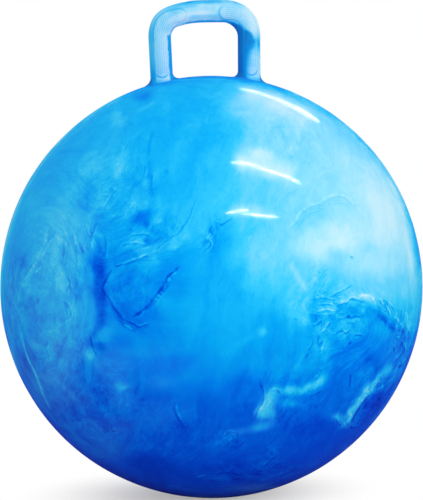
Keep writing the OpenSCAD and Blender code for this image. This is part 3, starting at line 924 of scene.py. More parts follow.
def front_marbling(skin):
    """Tone and haze where the photograph shows the ball: the fall of tone with the soft patches on it, some
    of them painted glow and shade.
    """
    stir_x = STIR_WIDE * skin.wide[0] + STIR_FINE * skin.fine[0]
    stir_y = STIR_WIDE * skin.wide[1] + STIR_FINE * skin.fine[1]
    tone = np.interp(skin.py + stir_y, *zip(*FALL))
    haze = np.zeros(len(tone))
    for x, y, half_w, half_h, turn, target, strength, mist in PATCHES:
        loose = min(1, min(half_w, half_h) / LOOSE_SIZE)
        rough_x = skin.px + stir_x * loose + skin.fine[1] + STIR_CURL * skin.curl
        rough_y = skin.py + stir_y * loose + skin.fine[0] - STIR_CURL * skin.curl
        cover = strength * softly_inside(rough_x, rough_y, x, y, half_w, half_h, turn)
        tone += (target - tone) * cover
        haze += (mist - haze) * cover
    return tone, haze


def far_marbling(skin):
    """Tone and haze behind the limb: cloudy, in the same tones as the front."""
    height = (skin.places[:, 2] - MIDDLE.z) / BALL_R
    tone = np.interp(height, *zip(*FAR_TONES)) + 0.30 * skin.cloud + 0.13 * skin.swirl
    return tone, FAR_HAZE * smooth(0, 0.5, skin.swirl)


def lay_marks(skin, tone, haze):
    """Lays the streaks and the round marks on the marbling; some of the streaks are painted glow round the
    streaks of light.
    """
    for line, half_w, target, strength, mist in STREAKS:
        away, _, along = line_distance(skin.stirred, skin.outward, line)
        ends = smooth(-0.02, 0.2, along) * smooth(1.02, 0.8, along)
        cover = strength * np.exp(-(away / (half_w * MM)) ** 2) * ends * skin.front
        tone += (target - tone) * cover
        haze += (mist - haze) * cover
    for x, y, radius, target, strength, mist in SPOTS:
        away = np.linalg.norm(skin.stirred - np.array(photo.on_ball(x, y)), axis=1)
        cover = strength * np.exp(-(away / (radius * MM)) ** 2)
        tone += (target - tone) * cover
        haze += (mist - haze) * cover


def wisp_flow(skin):
    """A measure that stays level along each wisp and rises across it."""
    x, z = skin.places[:, 0], skin.places[:, 2] - MIDDLE.z
    flow = x * math.cos(WISP_LEAN) - z * math.sin(WISP_LEAN)
    for centre_x, centre_y, *ground, strength in SWIRLS:
        away = np.linalg.norm(skin.places - np.array(photo.on_ball(centre_x, centre_y)), axis=1)
        flow += (away - flow) * strength * softly_inside(skin.px, skin.py, *ground, 0) * skin.seen
    return flow + 0.004 * skin.wide[0] + 0.002 * skin.fine[1]


def wisp_strength(skin):
    """Wisps in swirls behind the limb, and in front where the photograph shows wrinkled ground."""
    wisp = 0.8 * smooth(-0.1, 0.4, skin.swirl) * (1 - skin.seen) + 0.16
    for *ground, strength in WISPS:
        wisp = np.maximum(wisp, strength * softly_inside(skin.px, skin.py, *ground) * skin.front)
    return wisp


def nearest_crease(skin):
    """Distance to the nearest crease in half widths, signed by its side, and its dark and light depths."""
    nearest = np.full(len(skin.places), 1000.0)
    crease, dark, light = np.zeros((3, len(skin.places)))
    for line, half_w, darkness, lightness in CREASES:
        away, side, along = line_distance(skin.stirred, skin.outward, line)
        away = away / (half_w * MM)
        ends = smooth(0, 0.12, along) * smooth(1, 0.88, along) * skin.front
        nearer = away < nearest
        crease = np.where(nearer, away * side, crease)
        dark = np.where(nearer, darkness * ends, dark)
        light = np.where(nearer, lightness * ends, light)
        nearest = np.where(nearer, away, nearest)
    return np.clip(crease, -12, 12), dark, light


def paint_ball(mesh):
    """Paints tone, haze, wisps and creases on the ball's vertices."""
    skin = SkinPoints(positions(mesh))
    tone, haze = front_marbling(skin)
    far_tone, far_haze = far_marbling(skin)
    tone = far_tone + (tone - far_tone) * skin.seen
    haze = far_haze + (haze - far_haze) * skin.seen
    lay_marks(skin, tone, haze)
    crease, dark, light = nearest_crease(skin)

    keep_attribute(mesh, "flow", wisp_flow(skin))
    keep_attribute(mesh, "tone", np.clip(tone, 0, 1))
    keep_attribute(mesh, "haze", np.clip(haze, 0, 1))
    keep_attribute(mesh, "wisp", np.clip(wisp_strength(skin), 0, 1))
    keep_attribute(mesh, "crease", crease)
    keep_attribute(mesh, "crease_dark", dark)
    keep_attribute(mesh, "crease_light", light)


# Finishes

# Colours of each finish: tone or mottle, and colour
MARBLE = ((0.0, srgb(0, 33, 180)), (0.2, srgb(0, 72, 220)), (0.4, srgb(0, 122, 241)),
          (0.55, srgb(4, 163, 247)), (0.62, srgb(20, 181, 249)), (0.7, srgb(54, 198, 252)),
          (0.85, srgb(140, 219, 252)), (1.0, srgb(194, 234, 252)))
HANDLE_BLUES = ((0.0, srgb(24, 112, 186)), (0.12, srgb(24, 128, 210)), (0.25, srgb(24, 148, 228)),
                (0.4, srgb(26, 168, 238)), (0.52, srgb(58, 186, 244)), (0.66, srgb(102, 202, 248)),
                (0.8, srgb(148, 216, 249)), (1.0, srgb(204, 232, 251)))
BUSH_BLUES = ((0.3, srgb(8, 92, 205)), (0.5, srgb(14, 112, 225)), (0.7, srgb(40, 140, 240)))
PLUG_WHITES = ((0.3, srgb(226, 229, 230)), (0.6, srgb(240, 242, 243)))
HAZE_BLUE = srgb(96, 186, 226)


def ball_vinyl():
    """Glossy marbled vinyl: painted tones, some of them painted glow and shade, with wisps, creases and a
    fine unevenness.
    """
    vinyl = Finish("marbled_vinyl")
    tone, wisp = vinyl.attribute("tone"), vinyl.attribute("wisp")

    # Wisps: noise drawn out along the flow, and thin dark and light threads in it
    slow = vinyl.vectors("SCALE", vinyl.bent(40, 0.02), 40.0)
    across = vinyl.add("ShaderNodeCombineXYZ", {}, {0: vinyl.attribute("flow") * 55})
    drawn = vinyl.vectors("ADD", slow, across)
    cloud = vinyl.noise(0.6, 9.0, 0.68, drawn, 0.6)
    thread = vinyl.noise(2.1, 6.0, 0.70, drawn, 1.2)
    broken = vinyl.step(vinyl.noise(75, 3.0, 0.6), 0.40, 0.62)
    dark_threads = vinyl.clamp(1 - abs(thread - 0.45) * 11) ** 2 * broken
    light_threads = vinyl.clamp(1 - abs(thread - 0.57) * 11) ** 2 * (1 - broken)
    tone = tone + (cloud - 0.5) * (wisp * 0.70 + 0.13)
    tone = tone - dark_threads * wisp * 0.17 + light_threads * wisp * 0.15

    # Creases: a dark line with a light one beside it, both a little wrinkled, partly the vinyl's veins and
    # partly painted shade and highlight on their relief
    wrinkle = (vinyl.noise(300, 4.0, 0.6) - 0.5) * (vinyl.attribute("crease_dark") * 4.2)
    crease = vinyl.attribute("crease") + wrinkle
    dark = vinyl.math("EXPONENT", -(crease * crease)) * vinyl.attribute("crease_dark")
    beside = (crease - 1.7) / 0.9
    light = vinyl.math("EXPONENT", -(beside * beside)) * vinyl.attribute("crease_light")
    patchy = vinyl.step(vinyl.noise(130, 3.0, 0.6), 0.34, 0.58)
    dark, light = dark * (0.35 + patchy * 0.65), light * (1.15 - patchy * 0.8)
    tone = tone - dark * 0.34 + light * 0.30

    colour = vinyl.ramp(tone, MARBLE)
    haze = vinyl.clamp(vinyl.attribute("haze") * (0.35 + cloud * 0.7))
    colour = vinyl.blend(haze, colour, HAZE_BLUE)

    height = light * 0.5 - dark + (cloud - 0.5) * wisp * 0.5
    normal = vinyl.bump(height, 0.45 * MM, 0.5)
    normal = vinyl.bump(vinyl.noise(110, 2.0), 0.10 * MM, 0.35, normal)
    rough = vinyl.clamp(0.34 + (vinyl.noise(30, 3.0) - 0.5) * 0.10 + wisp * 0.05, 0.2, 0.6)
    return vinyl.close({"Base Color": colour, "Roughness": rough, "Normal": normal,
                        "Specular IOR Level": 0.0, "Coat Weight": 0.02, "Coat Roughness": 0.07})


def handle_vinyl():
    """Satin vinyl of the handle: painted tones, with soft streaks drawn out upright."""
    vinyl = Finish("handle_vinyl")
    drawn = vinyl.scaled(vinyl.bent(20, 0.01), (1.0, 1.0, 0.35))
    streaks = vinyl.noise(60, 5.0, 0.6, drawn, 0.5)
    tone = vinyl.attribute("tone") + (streaks - 0.5) * 0.22
    colour = vinyl.ramp(tone, HANDLE_BLUES)
    normal = vinyl.bump(vinyl.noise(700, 3.0), 0.06 * MM, 0.35)
    rough = vinyl.clamp(0.42 + (streaks - 0.5) * 0.15, 0.3, 0.6)
    return vinyl.close({"Base Color": colour, "Roughness": rough, "Normal": normal,
                        "Specular IOR Level": 0.0})


def bush_vinyl():
    """Satin mid-blue vinyl of the valve bush, with a slight mottle and a fine grain."""
    vinyl = Finish("bush_vinyl")
    mottle = vinyl.noise(90, 5.0, 0.6)
    colour = vinyl.ramp(mottle, BUSH_BLUES)
    normal = vinyl.bump(vinyl.noise(900, 3.0), 0.05 * MM, 0.4)
    rough = vinyl.clamp(0.38 + (mottle - 0.5) * 0.2, 0.25, 0.6)
    return vinyl.close({"Base Color": colour, "Roughness": rough, "Normal": normal,
                        "Specular IOR Level": 0.3, "Coat Weight": 0.2, "Coat Roughness": 0.15})


def plug_plastic():
    """Off-white plastic of the plug, a little uneven in colour and gloss, with a fine grain."""
    plastic = Finish("plug_plastic")
    mottle = plastic.noise(140, 4.0, 0.6)
    colour = plastic.ramp(mottle, PLUG_WHITES)
    normal = plastic.bump(plastic.noise(1100, 3.0), 0.05 * MM, 0.4)
    rough = plastic.clamp(0.46 + (mottle - 0.5) * 0.2, 0.3, 0.7)
    return plastic.close({"Base Color": colour, "Roughness": rough, "Normal": normal,
                          "Specular IOR Level": 0.4})


# Ball

def ball_shape(finish):
    """The skin as one closed shell: outer side, rim of the valve's hole and inner side.

    The poles of its rings lie on the valve's axis.
    """
    skin = Shape("ball_skin", {
        "Radius": BALL_R, "Skin": SKIN, "Middle height": MIDDLE.z, "Hole radius": VALVE_HOLE_R,
        "Flat edge": FLAT_EDGE, "Unevenness": UNEVENNESS, "Segments": BALL_SEGMENTS,
        "Outer rings": BALL_RINGS, "Inner rings": INNER_RINGS, "Material": finish})

    def side(rings, depth_at_rim, depth, to_pole):
        """Rings from the hole's rim on: to the other pole, or only through the skin."""
        grid = skin.add("GeometryNodeMeshGrid", {}, {0: 1.0, 1: 1.0, 2: skin["Segments"] + 1, 3: rings + 1})
        split = skin.add("ShaderNodeSeparateXYZ", {}, {0: skin.add("GeometryNodeInputPosition")})
        turn = (split.of("X") + 0.5) * (2 * math.pi)
        share = split.of("Y") + 0.5
        below = depth_at_rim + (depth - depth_at_rim) * share
        radius = skin["Radius"] - below
        rim = skin.math("ARCSINE", skin["Hole radius"] / radius)
        # Rings lie closer together towards the front pole
        angle = rim + (math.pi - rim) * share * (1.35 - share * 0.35) if to_pole else rim
        ring = skin.math("SINE", angle)
        direction = skin.vector(ring * skin.math("COSINE", turn),
                                skin.math("COSINE", angle),
                                ring * skin.math("SINE", turn))
        bumps = skin.add("ShaderNodeTexNoise", {}, {"Vector": direction, "Scale": 3.2, "Detail": 2.0})
        radius = radius - skin.clamp(bumps * 1.6 - 0.3) * skin["Unevenness"]
        parts = skin.add("ShaderNodeSeparateXYZ", {}, {0: skin.vectors("SCALE", direction, radius)})
        # The base is pressed flat on the floor, with a soft edge to the flat
        level = skin.math("SMOOTH_MAX", parts.of("Z") + skin["Middle height"], below, skin["Flat edge"])
        place = skin.vector(parts.of("X"), parts.of("Y"), level)
        return skin.add("GeometryNodeSetPosition", {}, {"Geometry": grid, "Position": place})

    outer = side(skin["Outer rings"], 0.0, 0.0, True)
    rim = side(1, 0.0, skin["Skin"], False)
    inner = side(skin["Inner rings"], skin["Skin"], skin["Skin"], True)
    sides = skin.join(outer, rim, inner)
    skin.finish(skin.add("GeometryNodeMergeByDistance", {}, {"Geometry": sides, "Distance": WELD}))
    return skin


def make_ball():
    """The marbled ball, in place of the plain one."""
    piece = ball_shape(ball_vinyl()).mesh("marbled_ball")
    turn_outwards(piece.data)
    paint_ball(piece.data)
    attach(piece, "ball")
    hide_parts("ball_shell")


# Handle

CORNER_X = LEG_SPACING / 2 - CORNER_R
CORNER_Z = LOOP_TOP - CORNER_X * math.tan(LEAN) - (CORNER_R + TUBE_W / 2) / math.cos(LEAN)
PAD_U = CORNER_R + PAD_OUT - PAD_CORNER_R
PAD_V = CORNER_R - PAD_DROP - PAD_CORNER_R


def from_corner(u, v):
    """A place on the right-hand side given about the middle of the corner, in the leg's leaning frame."""
    x = CORNER_X + u * math.cos(LEAN) + v * math.sin(LEAN)
    z = CORNER_Z - u * math.sin(LEAN) + v * math.cos(LEAN)
    return x, z


def leg_length():
    """Length of the leg's middle line, from the corner down to the ball's surface."""
    x, z = from_corner(CORNER_R, 0)
    down = (-math.sin(LEAN), -math.cos(LEAN))
    z -= MIDDLE.z
    towards = x * down[0] + z * down[1]
    return -towards - math.sqrt(towards ** 2 - (x * x + z * z - BALL_R ** 2))


LEG_L = leg_length()
PAD_LEG_L = PAD_V + LEG_L - PAD_LIFT - PAD_W / 2

TUBE_POINTS = 176
BAR_ROWS, CORNER_ROWS, LEG_ROWS, FLARE_ROWS = 30, 66, 62, 16
FOOT_DEPTH = 0.9 * MM
FOOT_SPREAD = 0.3 * MM
TINY = 1e-9


def tube_section():
    """Points and outward normals round the tube: across the loop, and in depth towards the front."""
    flat_w, flat_d = TUBE_W / 2 - TUBE_ROUND, TUBE_DEPTH / 2 - TUBE_ROUND
    run = 4 * (flat_w + flat_d) + 2 * math.pi * TUBE_ROUND
    points, normals = [], []
    for k in range(TUBE_POINTS):
        left = (k + 0.5) / TUBE_POINTS * run
        for quarter in range(4):
            straight = 2 * (flat_d if quarter % 2 == 0 else flat_w)
            turn = quarter * math.pi / 2
            if left < straight:
                local = (flat_w if quarter % 2 == 0 else flat_d) + TUBE_ROUND, left - straight / 2
                normal = (1, 0)
                break
            left -= straight
            if left < TUBE_ROUND * math.pi / 2:
                normal = (math.cos(left / TUBE_ROUND), math.sin(left / TUBE_ROUND))
                near, far = (flat_w, flat_d) if quarter % 2 == 0 else (flat_d, flat_w)
                local = near + TUBE_ROUND * normal[0], far + TUBE_ROUND * normal[1]
                break
            left -= TUBE_ROUND * math.pi / 2
        cosine, sine = math.cos(turn), math.sin(turn)
        points.append((local[0] * cosine - local[1] * sine, local[0] * sine + local[1] * cosine))
        normals.append((normal[0] * cosine - normal[1] * sine, normal[0] * sine + normal[1] * cosine))
    return np.array(points), np.array(normals)


def in_corner_frame(points):
    """Places across and up from the corner's middle, in the frame of the leg on each point's side."""
    x, z = np.abs(points[:, 0]) - CORNER_X, points[:, 2] - CORNER_Z
    return x * math.cos(LEAN) - z * math.sin(LEAN), x * math.sin(LEAN) + z * math.cos(LEAN)


def loop_place(points):
    """Millimetres along the loop from the bar's middle, minus on the left, and out from the tube's."""
    u, v = in_corner_frame(points)
    turn = np.arctan2(np.maximum(u, 0), np.maximum(v, 0) + TINY)
    along = CORNER_X + CORNER_R * turn + np.minimum(u, 0) - np.minimum(v, 0)
    outside = np.hypot(np.maximum(u, 0), np.maximum(v, 0)) - CORNER_R
    return np.where(points[:, 0] < 0, -along, along) / MM, outside / MM


def pad_depth(points):
    """How far inside its grip pad's edge each point lies, in millimetres, and minus outside it."""
    u, v = in_corner_frame(points)
    u, v = u - PAD_U, v - PAD_V
    end = -PAD_REACH - np.sign(points[:, 0]) * PAD_SHIFT
    turn = np.abs(np.hypot(u, v) - PAD_CORNER_R)
    bar = np.hypot(u - end, v - np.where(end > 0, np.sqrt(PAD_CORNER_R ** 2 - end ** 2), PAD_CORNER_R))
    leg = np.hypot(u - PAD_CORNER_R, np.minimum(v + PAD_LEG_L, 0))
    straight = np.where(u < 0, np.abs(v - PAD_CORNER_R), turn)
    middle = np.where(v < 0, leg, np.where(u < end, bar, straight))
    return (PAD_W / 2 - middle) / MM


def settle(points):
    """Lets the bar sag, lower on the left, and fills the corners out."""
    along, outside = loop_place(points)
    u, v = in_corner_frame(points)
    u, v = np.maximum(u, 0), np.maximum(v, 0) + TINY
    away_x = (u * math.cos(LEAN) + v * math.sin(LEAN)) * np.where(points[:, 0] < 0, -1, 1)
    away_z = v * math.cos(LEAN) - u * math.sin(LEAN)
    away = np.stack([away_x, np.zeros(len(points)), away_z], axis=1) / np.hypot(u, v)[:, None]
    full = sum(rise * np.exp(-((along - place) / reach) ** 2) for place, reach, rise in CORNER_FILLS) * MM
    full *= smooth(-3, 12, outside)
    drop = (BAR_SAG + LEFT_SAG * np.exp(-((along + 26) / 11) ** 2)) * smooth(72, 34, np.abs(along))
    return points + away * full[:, None] - drop[:, None] * np.array([0, 0, 1.0])


def half_loop_rows(section, normals):
    """Rows of points and outward normals of the right-hand half of the tube, from the bar's middle down."""
    rows, outs = [], []

    def add_row(x, z, turn):
        """A row whose outward direction in the loop's plane is turned from upright towards +X."""
        out = np.array([math.sin(turn), 0, math.cos(turn)])
        depth = np.array([0, -1, 0])
        rows.append(np.array([x, 0, z]) + section[:, :1] * out + section[:, 1:] * depth)
        outs.append(normals[:, :1] * out + normals[:, 1:] * depth)

    end_x, end_z = from_corner(0, CORNER_R)
    for k in range(BAR_ROWS):
        x = end_x * k / BAR_ROWS
        add_row(x, end_z + (end_x ** 2 - x ** 2) * math.tan(LEAN) / (2 * end_x), LEAN * x / end_x)
    for k in range(CORNER_ROWS + 1):
        turn = math.pi / 2 * k / CORNER_ROWS
        add_row(*from_corner(CORNER_R * math.sin(turn), CORNER_R * math.cos(turn)), LEAN + turn)

    # Down the leg to where the flare starts, a flare's radius above the ball on every side
    top, out = rows[-1], outs[-1]
    down = np.array([-math.sin(LEAN), 0, -math.cos(LEAN)])
    middle = np.array(MIDDLE)
    towards = (top - middle) @ down
    reach = -towards - np.sqrt(towards ** 2 - np.sum((top - middle) ** 2, axis=1) + (BALL_R + FLARE_R) ** 2)
    for k in range(1, LEG_ROWS + 1):
        rows.append(top + reach[:, None] * down * k / LEG_ROWS)
        outs.append(out)

    # The flare turns from the leg's wall to the ball's surface
    start = rows[-1]
    radial = (start - middle) / np.linalg.norm(start - middle, axis=1)[:, None]
    away = out - np.sum(out * radial, axis=1)[:, None] * radial
    away /= np.linalg.norm(away, axis=1)[:, None]
    slide = down / -np.sum(down * radial, axis=1)[:, None]
    for k in range(1, FLARE_ROWS + 1):
        turn = math.pi / 2 * k / FLARE_ROWS
        spread = FLARE_R * (1 - math.cos(turn))
        row = start + away * spread + slide * FLARE_R * math.sin(turn) - radial * spread ** 2 / (2 * BALL_R)
        normal = away * math.cos(turn) + radial * math.sin(turn)
        # The last row lies a little inside the ball, so that no gap shows
        if k == FLARE_ROWS:
            row = row - radial * FOOT_DEPTH + away * FOOT_SPREAD
        rows.append(row)
        outs.append(normal)
    return rows, outs


class HandlePaint:
    """Tones laid on the handle in soft bands. Places along the loop and inside a pad are in millimetres,
    and places across the tube run from -1, at the opening, to 1, outside."""

    def __init__(self, points):
        self.broad = noise_field(points, 45, 3, 23)
        self.fine = noise_field(points, 170, 3, 29)
        along, self.outside = loop_place(points)
        self.along = along + 2.0 * self.broad + 1.2 * self.fine
        self.outer = self.outside / (TUBE_W / MM / 2) + 0.05 * self.broad + 0.05 * self.fine
        self.inside_pad = pad_depth(points)
        self.tone = np.full(len(points), 0.80) + 0.06 * self.broad + 0.04 * self.fine

    def run(self, low, high, soft):
        """A stretch along the loop."""
        return band(self.along, low, high, soft)

    def past(self, low, high):
        """A step across the tube."""
        return smooth(low, high, self.outer)

    def across(self, low, high, soft):
        """A stripe across the tube."""
        return band(self.outer, low, high, soft)

    def edge(self, depth, width):
        """A line along the pads' edges, at a depth inside them."""
        return np.exp(-((self.inside_pad - depth) / width) ** 2)

    def lay(self, target, cover):
        self.tone += (target - self.tone) * np.clip(cover, 0, 1)


def paint_bar(paint):
    """The bar: paler along its lower half as painted light against the shade under it, and azure on its
    crown and underside.
    """
    # Painted light: the lower half paler, against the shade that falls under the bar
    paint.lay(0.97, paint.run(-46, 8, 8) * paint.past(0.2, -0.2) * 0.9)
    paint.lay(0.58, paint.run(-34, 34, 6) * paint.past(0.52, 0.76) * 0.95)
    paint.lay(0.74, paint.run(16, 24, 3) * paint.past(0.5, 0.7) * 0.7)
    paint.lay(0.72, paint.run(-16, 26, 5) * paint.across(-0.72, -0.34, 0.1) * 0.8)
    paint.lay(0.62, paint.run(-34, -6, 5) * paint.across(0.38, 0.66, 0.08) * 0.7)
    paint.lay(0.88, paint.run(16, 40, 5) * paint.across(-0.7, 0.3, 0.15) * 0.7)
    paint.lay(0.22, paint.run(-17, 13, 4) * paint.past(0.84, 0.96) * 0.95)
    paint.lay(0.44, paint.run(25, 36, 3) * paint.past(0.62, 0.82) * 0.85)
    paint.lay(0.52, paint.run(-30, 28, 5) * paint.past(0.66, 0.84) * 0.8)
    paint.lay(0.34, paint.run(-18, -12, 3) * paint.past(0.74, 0.9) * 0.8)
    paint.lay(0.45, paint.past(0.90, 1.0) * 0.6)
    paint.lay(0.42, paint.run(-24, 34, 8) * paint.past(-0.78, -0.92) * 0.9)


def paint_left_side(paint):
    """Left corner and leg: azure outside the pad, the pad paler towards the opening, then bright azure."""
    pad_tone = 0.90 - 0.16 * paint.outer - 0.05 * smooth(-70, -108, paint.along)
    paint.lay(pad_tone, paint.run(-120, -56, 8) * paint.past(0.8, 0.6))
    side_tone = 0.54 - 0.22 * smooth(-80, -108, paint.along)
    paint.lay(side_tone, paint.run(-120, -52, 8) * paint.past(0.48, 0.74))
    paint.lay(0.66, paint.run(-52, -26, 4) * paint.past(0.66, 0.76) * 0.7)
    paint.lay(0.36, paint.run(-120, -59, 3) * paint.past(-0.56, -0.70))
    paint.lay(0.56, paint.run(-62, -34, 6) * paint.past(-0.80, -0.96) * 0.8)
    # Painted shade in fine lines between the rows of dots
    row_gap_shade = 0.5 + 0.5 * np.cos(paint.outside * 2 * math.pi / 2.1)
    paint.tone -= 0.07 * row_gap_shade * paint.run(-100, -44, 8) * smooth(0.0, 1.5, paint.inside_pad)


def paint_right_side(paint):
    """Right corner and leg: very pale outside, a painted highlight on the corner, and a darker inner side,
    painted shade with a jagged edge.
    """
    along, outer = paint.along, paint.outer
    # Painted highlight on the outside of the corner, which faces the lamps
    paint.lay(0.98, paint.run(34, 62, 7) * paint.past(-0.3, 0.3) * 0.85)
    paint.lay(0.84, paint.run(18, 36, 5) * paint.past(0.0, 0.4) * 0.5)
    # Painted shade on the inner side, away from the lamps. Its edge wanders out and back: place along the
    # loop and place across the tube
    edge = np.interp(along, (24, 40, 48, 54, 58, 62, 66, 70, 74, 79, 86, 95, 110),
                     (-0.95, -0.72, -0.55, -0.38, -0.12, 0.10, 0.36, 0.56, 0.36, 0.10, -0.06, -0.18, -0.18))
    edge = edge + 0.05 * np.sin(along * 2 * math.pi / 2.3) * paint.run(52, 66, 3) + 0.10 * paint.fine
    soft = np.interp(along, (40, 54, 66, 80), (0.12, 0.2, 0.24, 0.42))
    shaded_inner_side = smooth(0, 1, (edge + soft - outer) / (2 * soft)) * smooth(22, 40, along)
    paint.lay(np.interp(along, (70, 90), (0.20, 0.36)) + 0.12 * outer + 0.05 * paint.broad, shaded_inner_side)
    # Painted shade, deepest, on the face towards the opening
    paint.lay(0.06, paint.past(-0.24, -0.72) * smooth(40, 56, along) * 0.95)
    paint.lay(0.74, paint.edge(0.6, 0.8) * paint.run(30, 56, 4) * paint.past(0.1, -0.2) * 0.8)
    paint.lay(0.92, paint.run(84, 112, 6) * paint.past(0.78, 0.92) * 0.7)
    # A blotch near the top of the leg, with a light line inside it
    blotch = ((along - 71 - 4 * (outer - 0.7)) / 8) ** 2 + ((outer - 0.74) / 0.17) ** 2
    paint.lay(0.32, np.exp(-blotch))
    light_line = ((along - 71) / 9) ** 4 + ((outer - 0.50) / 0.07) ** 2
    paint.lay(0.60, np.exp(-light_line) * 0.9)


def paint_edges_and_feet(paint):
    """Painted shade along the pads' edges, a painted highlight line on the bar at the left pad's end, and
    painted shade at the feet where they meet the ball.
    """
    # Painted shade round the pads' edges, darker on the left pad's outer edge and at the right pad's end
    rim = paint.edge(-0.5, 0.85)
    down = np.abs(paint.along)
    paint.lay(0.44, rim * paint.run(-68, -22, 5) * paint.past(-0.1, 0.25) * 0.95)
    towards_middle = np.maximum(paint.past(0.2, -0.1), smooth(20, 16, paint.along))
    paint.lay(0.50, rim * paint.run(10, 52, 3) * towards_middle * 0.8)
    paint.lay(0.62, rim * 0.3)
    # Painted highlight on the end of the left pad
    paint.lay(1.0, paint.edge(0.9, 0.6) * paint.run(-24, -16, 2) * paint.across(-0.5, 0.35, 0.15))
    # Painted shade at the pads' lower ends and at the feet, where the legs meet the ball
    paint.lay(0.34, paint.edge(-0.2, 0.6) * smooth(100, 104, down) * 0.8)
    paint.lay(0.50 - 0.14 * np.abs(paint.outer), smooth(106, 112, down) * 0.8)
    paint.lay(0.10, smooth(102, 109, down) * smooth(0.80, 1.0, np.abs(paint.outer)) * 0.9)


def paint_handle(points):
    """The handle's tone at each point."""
    paint = HandlePaint(points)
    paint_bar(paint)
    paint_left_side(paint)
    paint_right_side(paint)
    paint_edges_and_feet(paint)
    return np.clip(paint.tone, 0, 1)


def make_handle():
    """The loop handle with its raised pads, in place of the plain one."""
    section, normals = tube_section()
    rows, outs = half_loop_rows(section, normals)
    flip = np.array([-1, 1, 1])
    rows = [row * flip for row in reversed(rows[1:])] + rows
    outs = [out * flip for out in reversed(outs[1:])] + outs
    points, outward = np.concatenate(rows), np.concatenate(outs)
    fronts = np.tile(normals[:, 1], len(rows))
    raised = smooth(-0.35, 0.35, pad_depth(points)) * PAD_RISE * smooth(0.05, 0.2, np.abs(fronts))
    tones = paint_handle(points)
    points = points + raised[:, None] * outward

    ring = np.arange(TUBE_POINTS)
    following = (ring + 1) % TUBE_POINTS
    faces = []
    for k in range(len(rows) - 1):
        this, after = k * TUBE_POINTS, (k + 1) * TUBE_POINTS
        faces += [(this + i, this + j, after + j, after + i) for i, j in zip(ring, following)]
    last = (len(rows) - 1) * TUBE_POINTS
    faces.append(tuple(ring))
    faces.append(tuple(last + ring[::-1]))
    mesh = bpy.data.meshes.new("loop_handle")
    mesh.from_pydata(points.tolist(), [], [tuple(int(i) for i in face) for face in faces])
    turn_outwards(mesh)
    keep_attribute(mesh, "tone", tones)
    piece = shown("loop_handle", mesh)
    mesh.materials.append(handle_vinyl())
    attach(piece, "ball")
    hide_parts("handle_loop")
    piece.visible_glossy = False
    return piece


def dots_shape(handle):
    """Small domes in rows on the four pads, set on the handle's surface along the rows of each pad."""
    run = PAD_REACH + PAD_CORNER_R * math.pi / 2 + PAD_LEG_L
    dots = Shape("grip_dots", {
        "Dots along a pad": int(run / DOT_PITCH), "Rows": DOT_ROWS, "Pitch": DOT_PITCH,
        "Row gap": DOT_ROW_GAP, "Dot width": DOT_D, "Dot rise": DOT_RISE, "Corner radius": PAD_CORNER_R,
        "Reach": PAD_REACH, "Shift": PAD_SHIFT, "Handle": handle, "Material": handle.data.materials[0]})

    def whole(value):
        return dots.math("FLOOR", value)

    # Each point's number gives its side, its face, its row and its place in the row
    index = dots.add("GeometryNodeInputIndex")
    side = (index % 2) * 2 - 1
    face = (whole(index / 2) % 2) * 2 - 1
    row = whole(index / 4) % dots["Rows"]
    place = whole(index / (dots["Rows"] * 4))

    # Rows are staggered by half a pitch, and measured from where the pad starts to turn
    run_to = (place + 0.5 + (row % 2) * 0.5) * dots["Pitch"] - dots["Reach"] - side * dots["Shift"]
    offset = (row - (dots["Rows"] - 1) / 2) * dots["Pitch"] * dots["Row gap"]
    on_bar = dots.math("MINIMUM", run_to, 0)
    quarter = dots["Corner radius"] * (math.pi / 2)
    on_arc = dots.clamp(run_to, 0, quarter)
    on_leg = dots.math("MAXIMUM", run_to - quarter, 0)
    turn = on_arc / dots["Corner radius"]
    u = PAD_U + on_bar + (dots["Corner radius"] + offset) * dots.math("SINE", turn)
    v = PAD_V + (dots["Corner radius"] + offset) * dots.math("COSINE", turn) - on_leg
    x, z = from_corner(u, v)
    start = dots.vector(side * x, face * TUBE_DEPTH, z)

    # From in front of its pad or behind it, each point is cast on to the handle
    count = dots["Rows"] * dots["Dots along a pad"] * 4
    points = dots.add("GeometryNodePoints", {}, {"Count": count, "Position": start})
    tube = dots.add("GeometryNodeObjectInfo", {"transform_space": "RELATIVE"}, {"Object": dots["Handle"]})
    hit = dots.add("GeometryNodeRaycast", {}, {
        "Target Geometry": tube.of("Geometry"), "Source Position": start,
        "Ray Direction": dots.vector(0.0, face * -1, 0.0), "Ray Length": TUBE_DEPTH})
    landed = hit.of("Hit Position")
    points = dots.add("GeometryNodeSetPosition", {}, {"Geometry": points, "Position": landed})
    size = dots["Dot width"] / 2
    ball = dots.add("GeometryNodeMeshUVSphere", {}, {"Segments": 8, "Rings": 6, "Radius": size})
    flatness = dots.vector(1.0, 1.0, dots["Dot rise"] / dots["Dot width"] * 2)
    dome = dots.add("GeometryNodeTransform", {}, {"Geometry": ball, "Scale": flatness})
    upright = dots.add("FunctionNodeAlignRotationToVector", {"axis": "Z"}, {"Vector": hit.of("Hit Normal")})
    dots.finish(dots.add("GeometryNodeInstanceOnPoints", {},
                         {"Points": points, "Instance": dome, "Rotation": upright}))
    return dots


def make_grip_dots(handle):
    """The grips' dots, a little darker than the pad under them as painted shade, which settle with the
    handle.
    """
    piece = dots_shape(handle).mesh("grip_dots")
    turn_outwards(piece.data)
    keep_attribute(piece.data, "tone", np.clip(paint_handle(positions(piece.data)) - DOT_SHADE, 0, 1))
    for part in (piece, handle):
        part.data.vertices.foreach_set("co", settle(positions(part.data)).ravel())
        part.data.update()
    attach(piece, "ball")
    piece.visible_glossy = False


def dress_valve():
    """Gives the bush and the plug, whose shapes the part has in full, their finishes."""
    for node, finish in (("valve_bush", bush_vinyl()), ("valve_plug", plug_plastic())):
        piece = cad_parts[node]
        piece.data.materials.clear()
        piece.data.materials.append(finish)


# Floor, background and light

WHITE = (1, 1, 1, 1)
FLOOR_R = 9.0
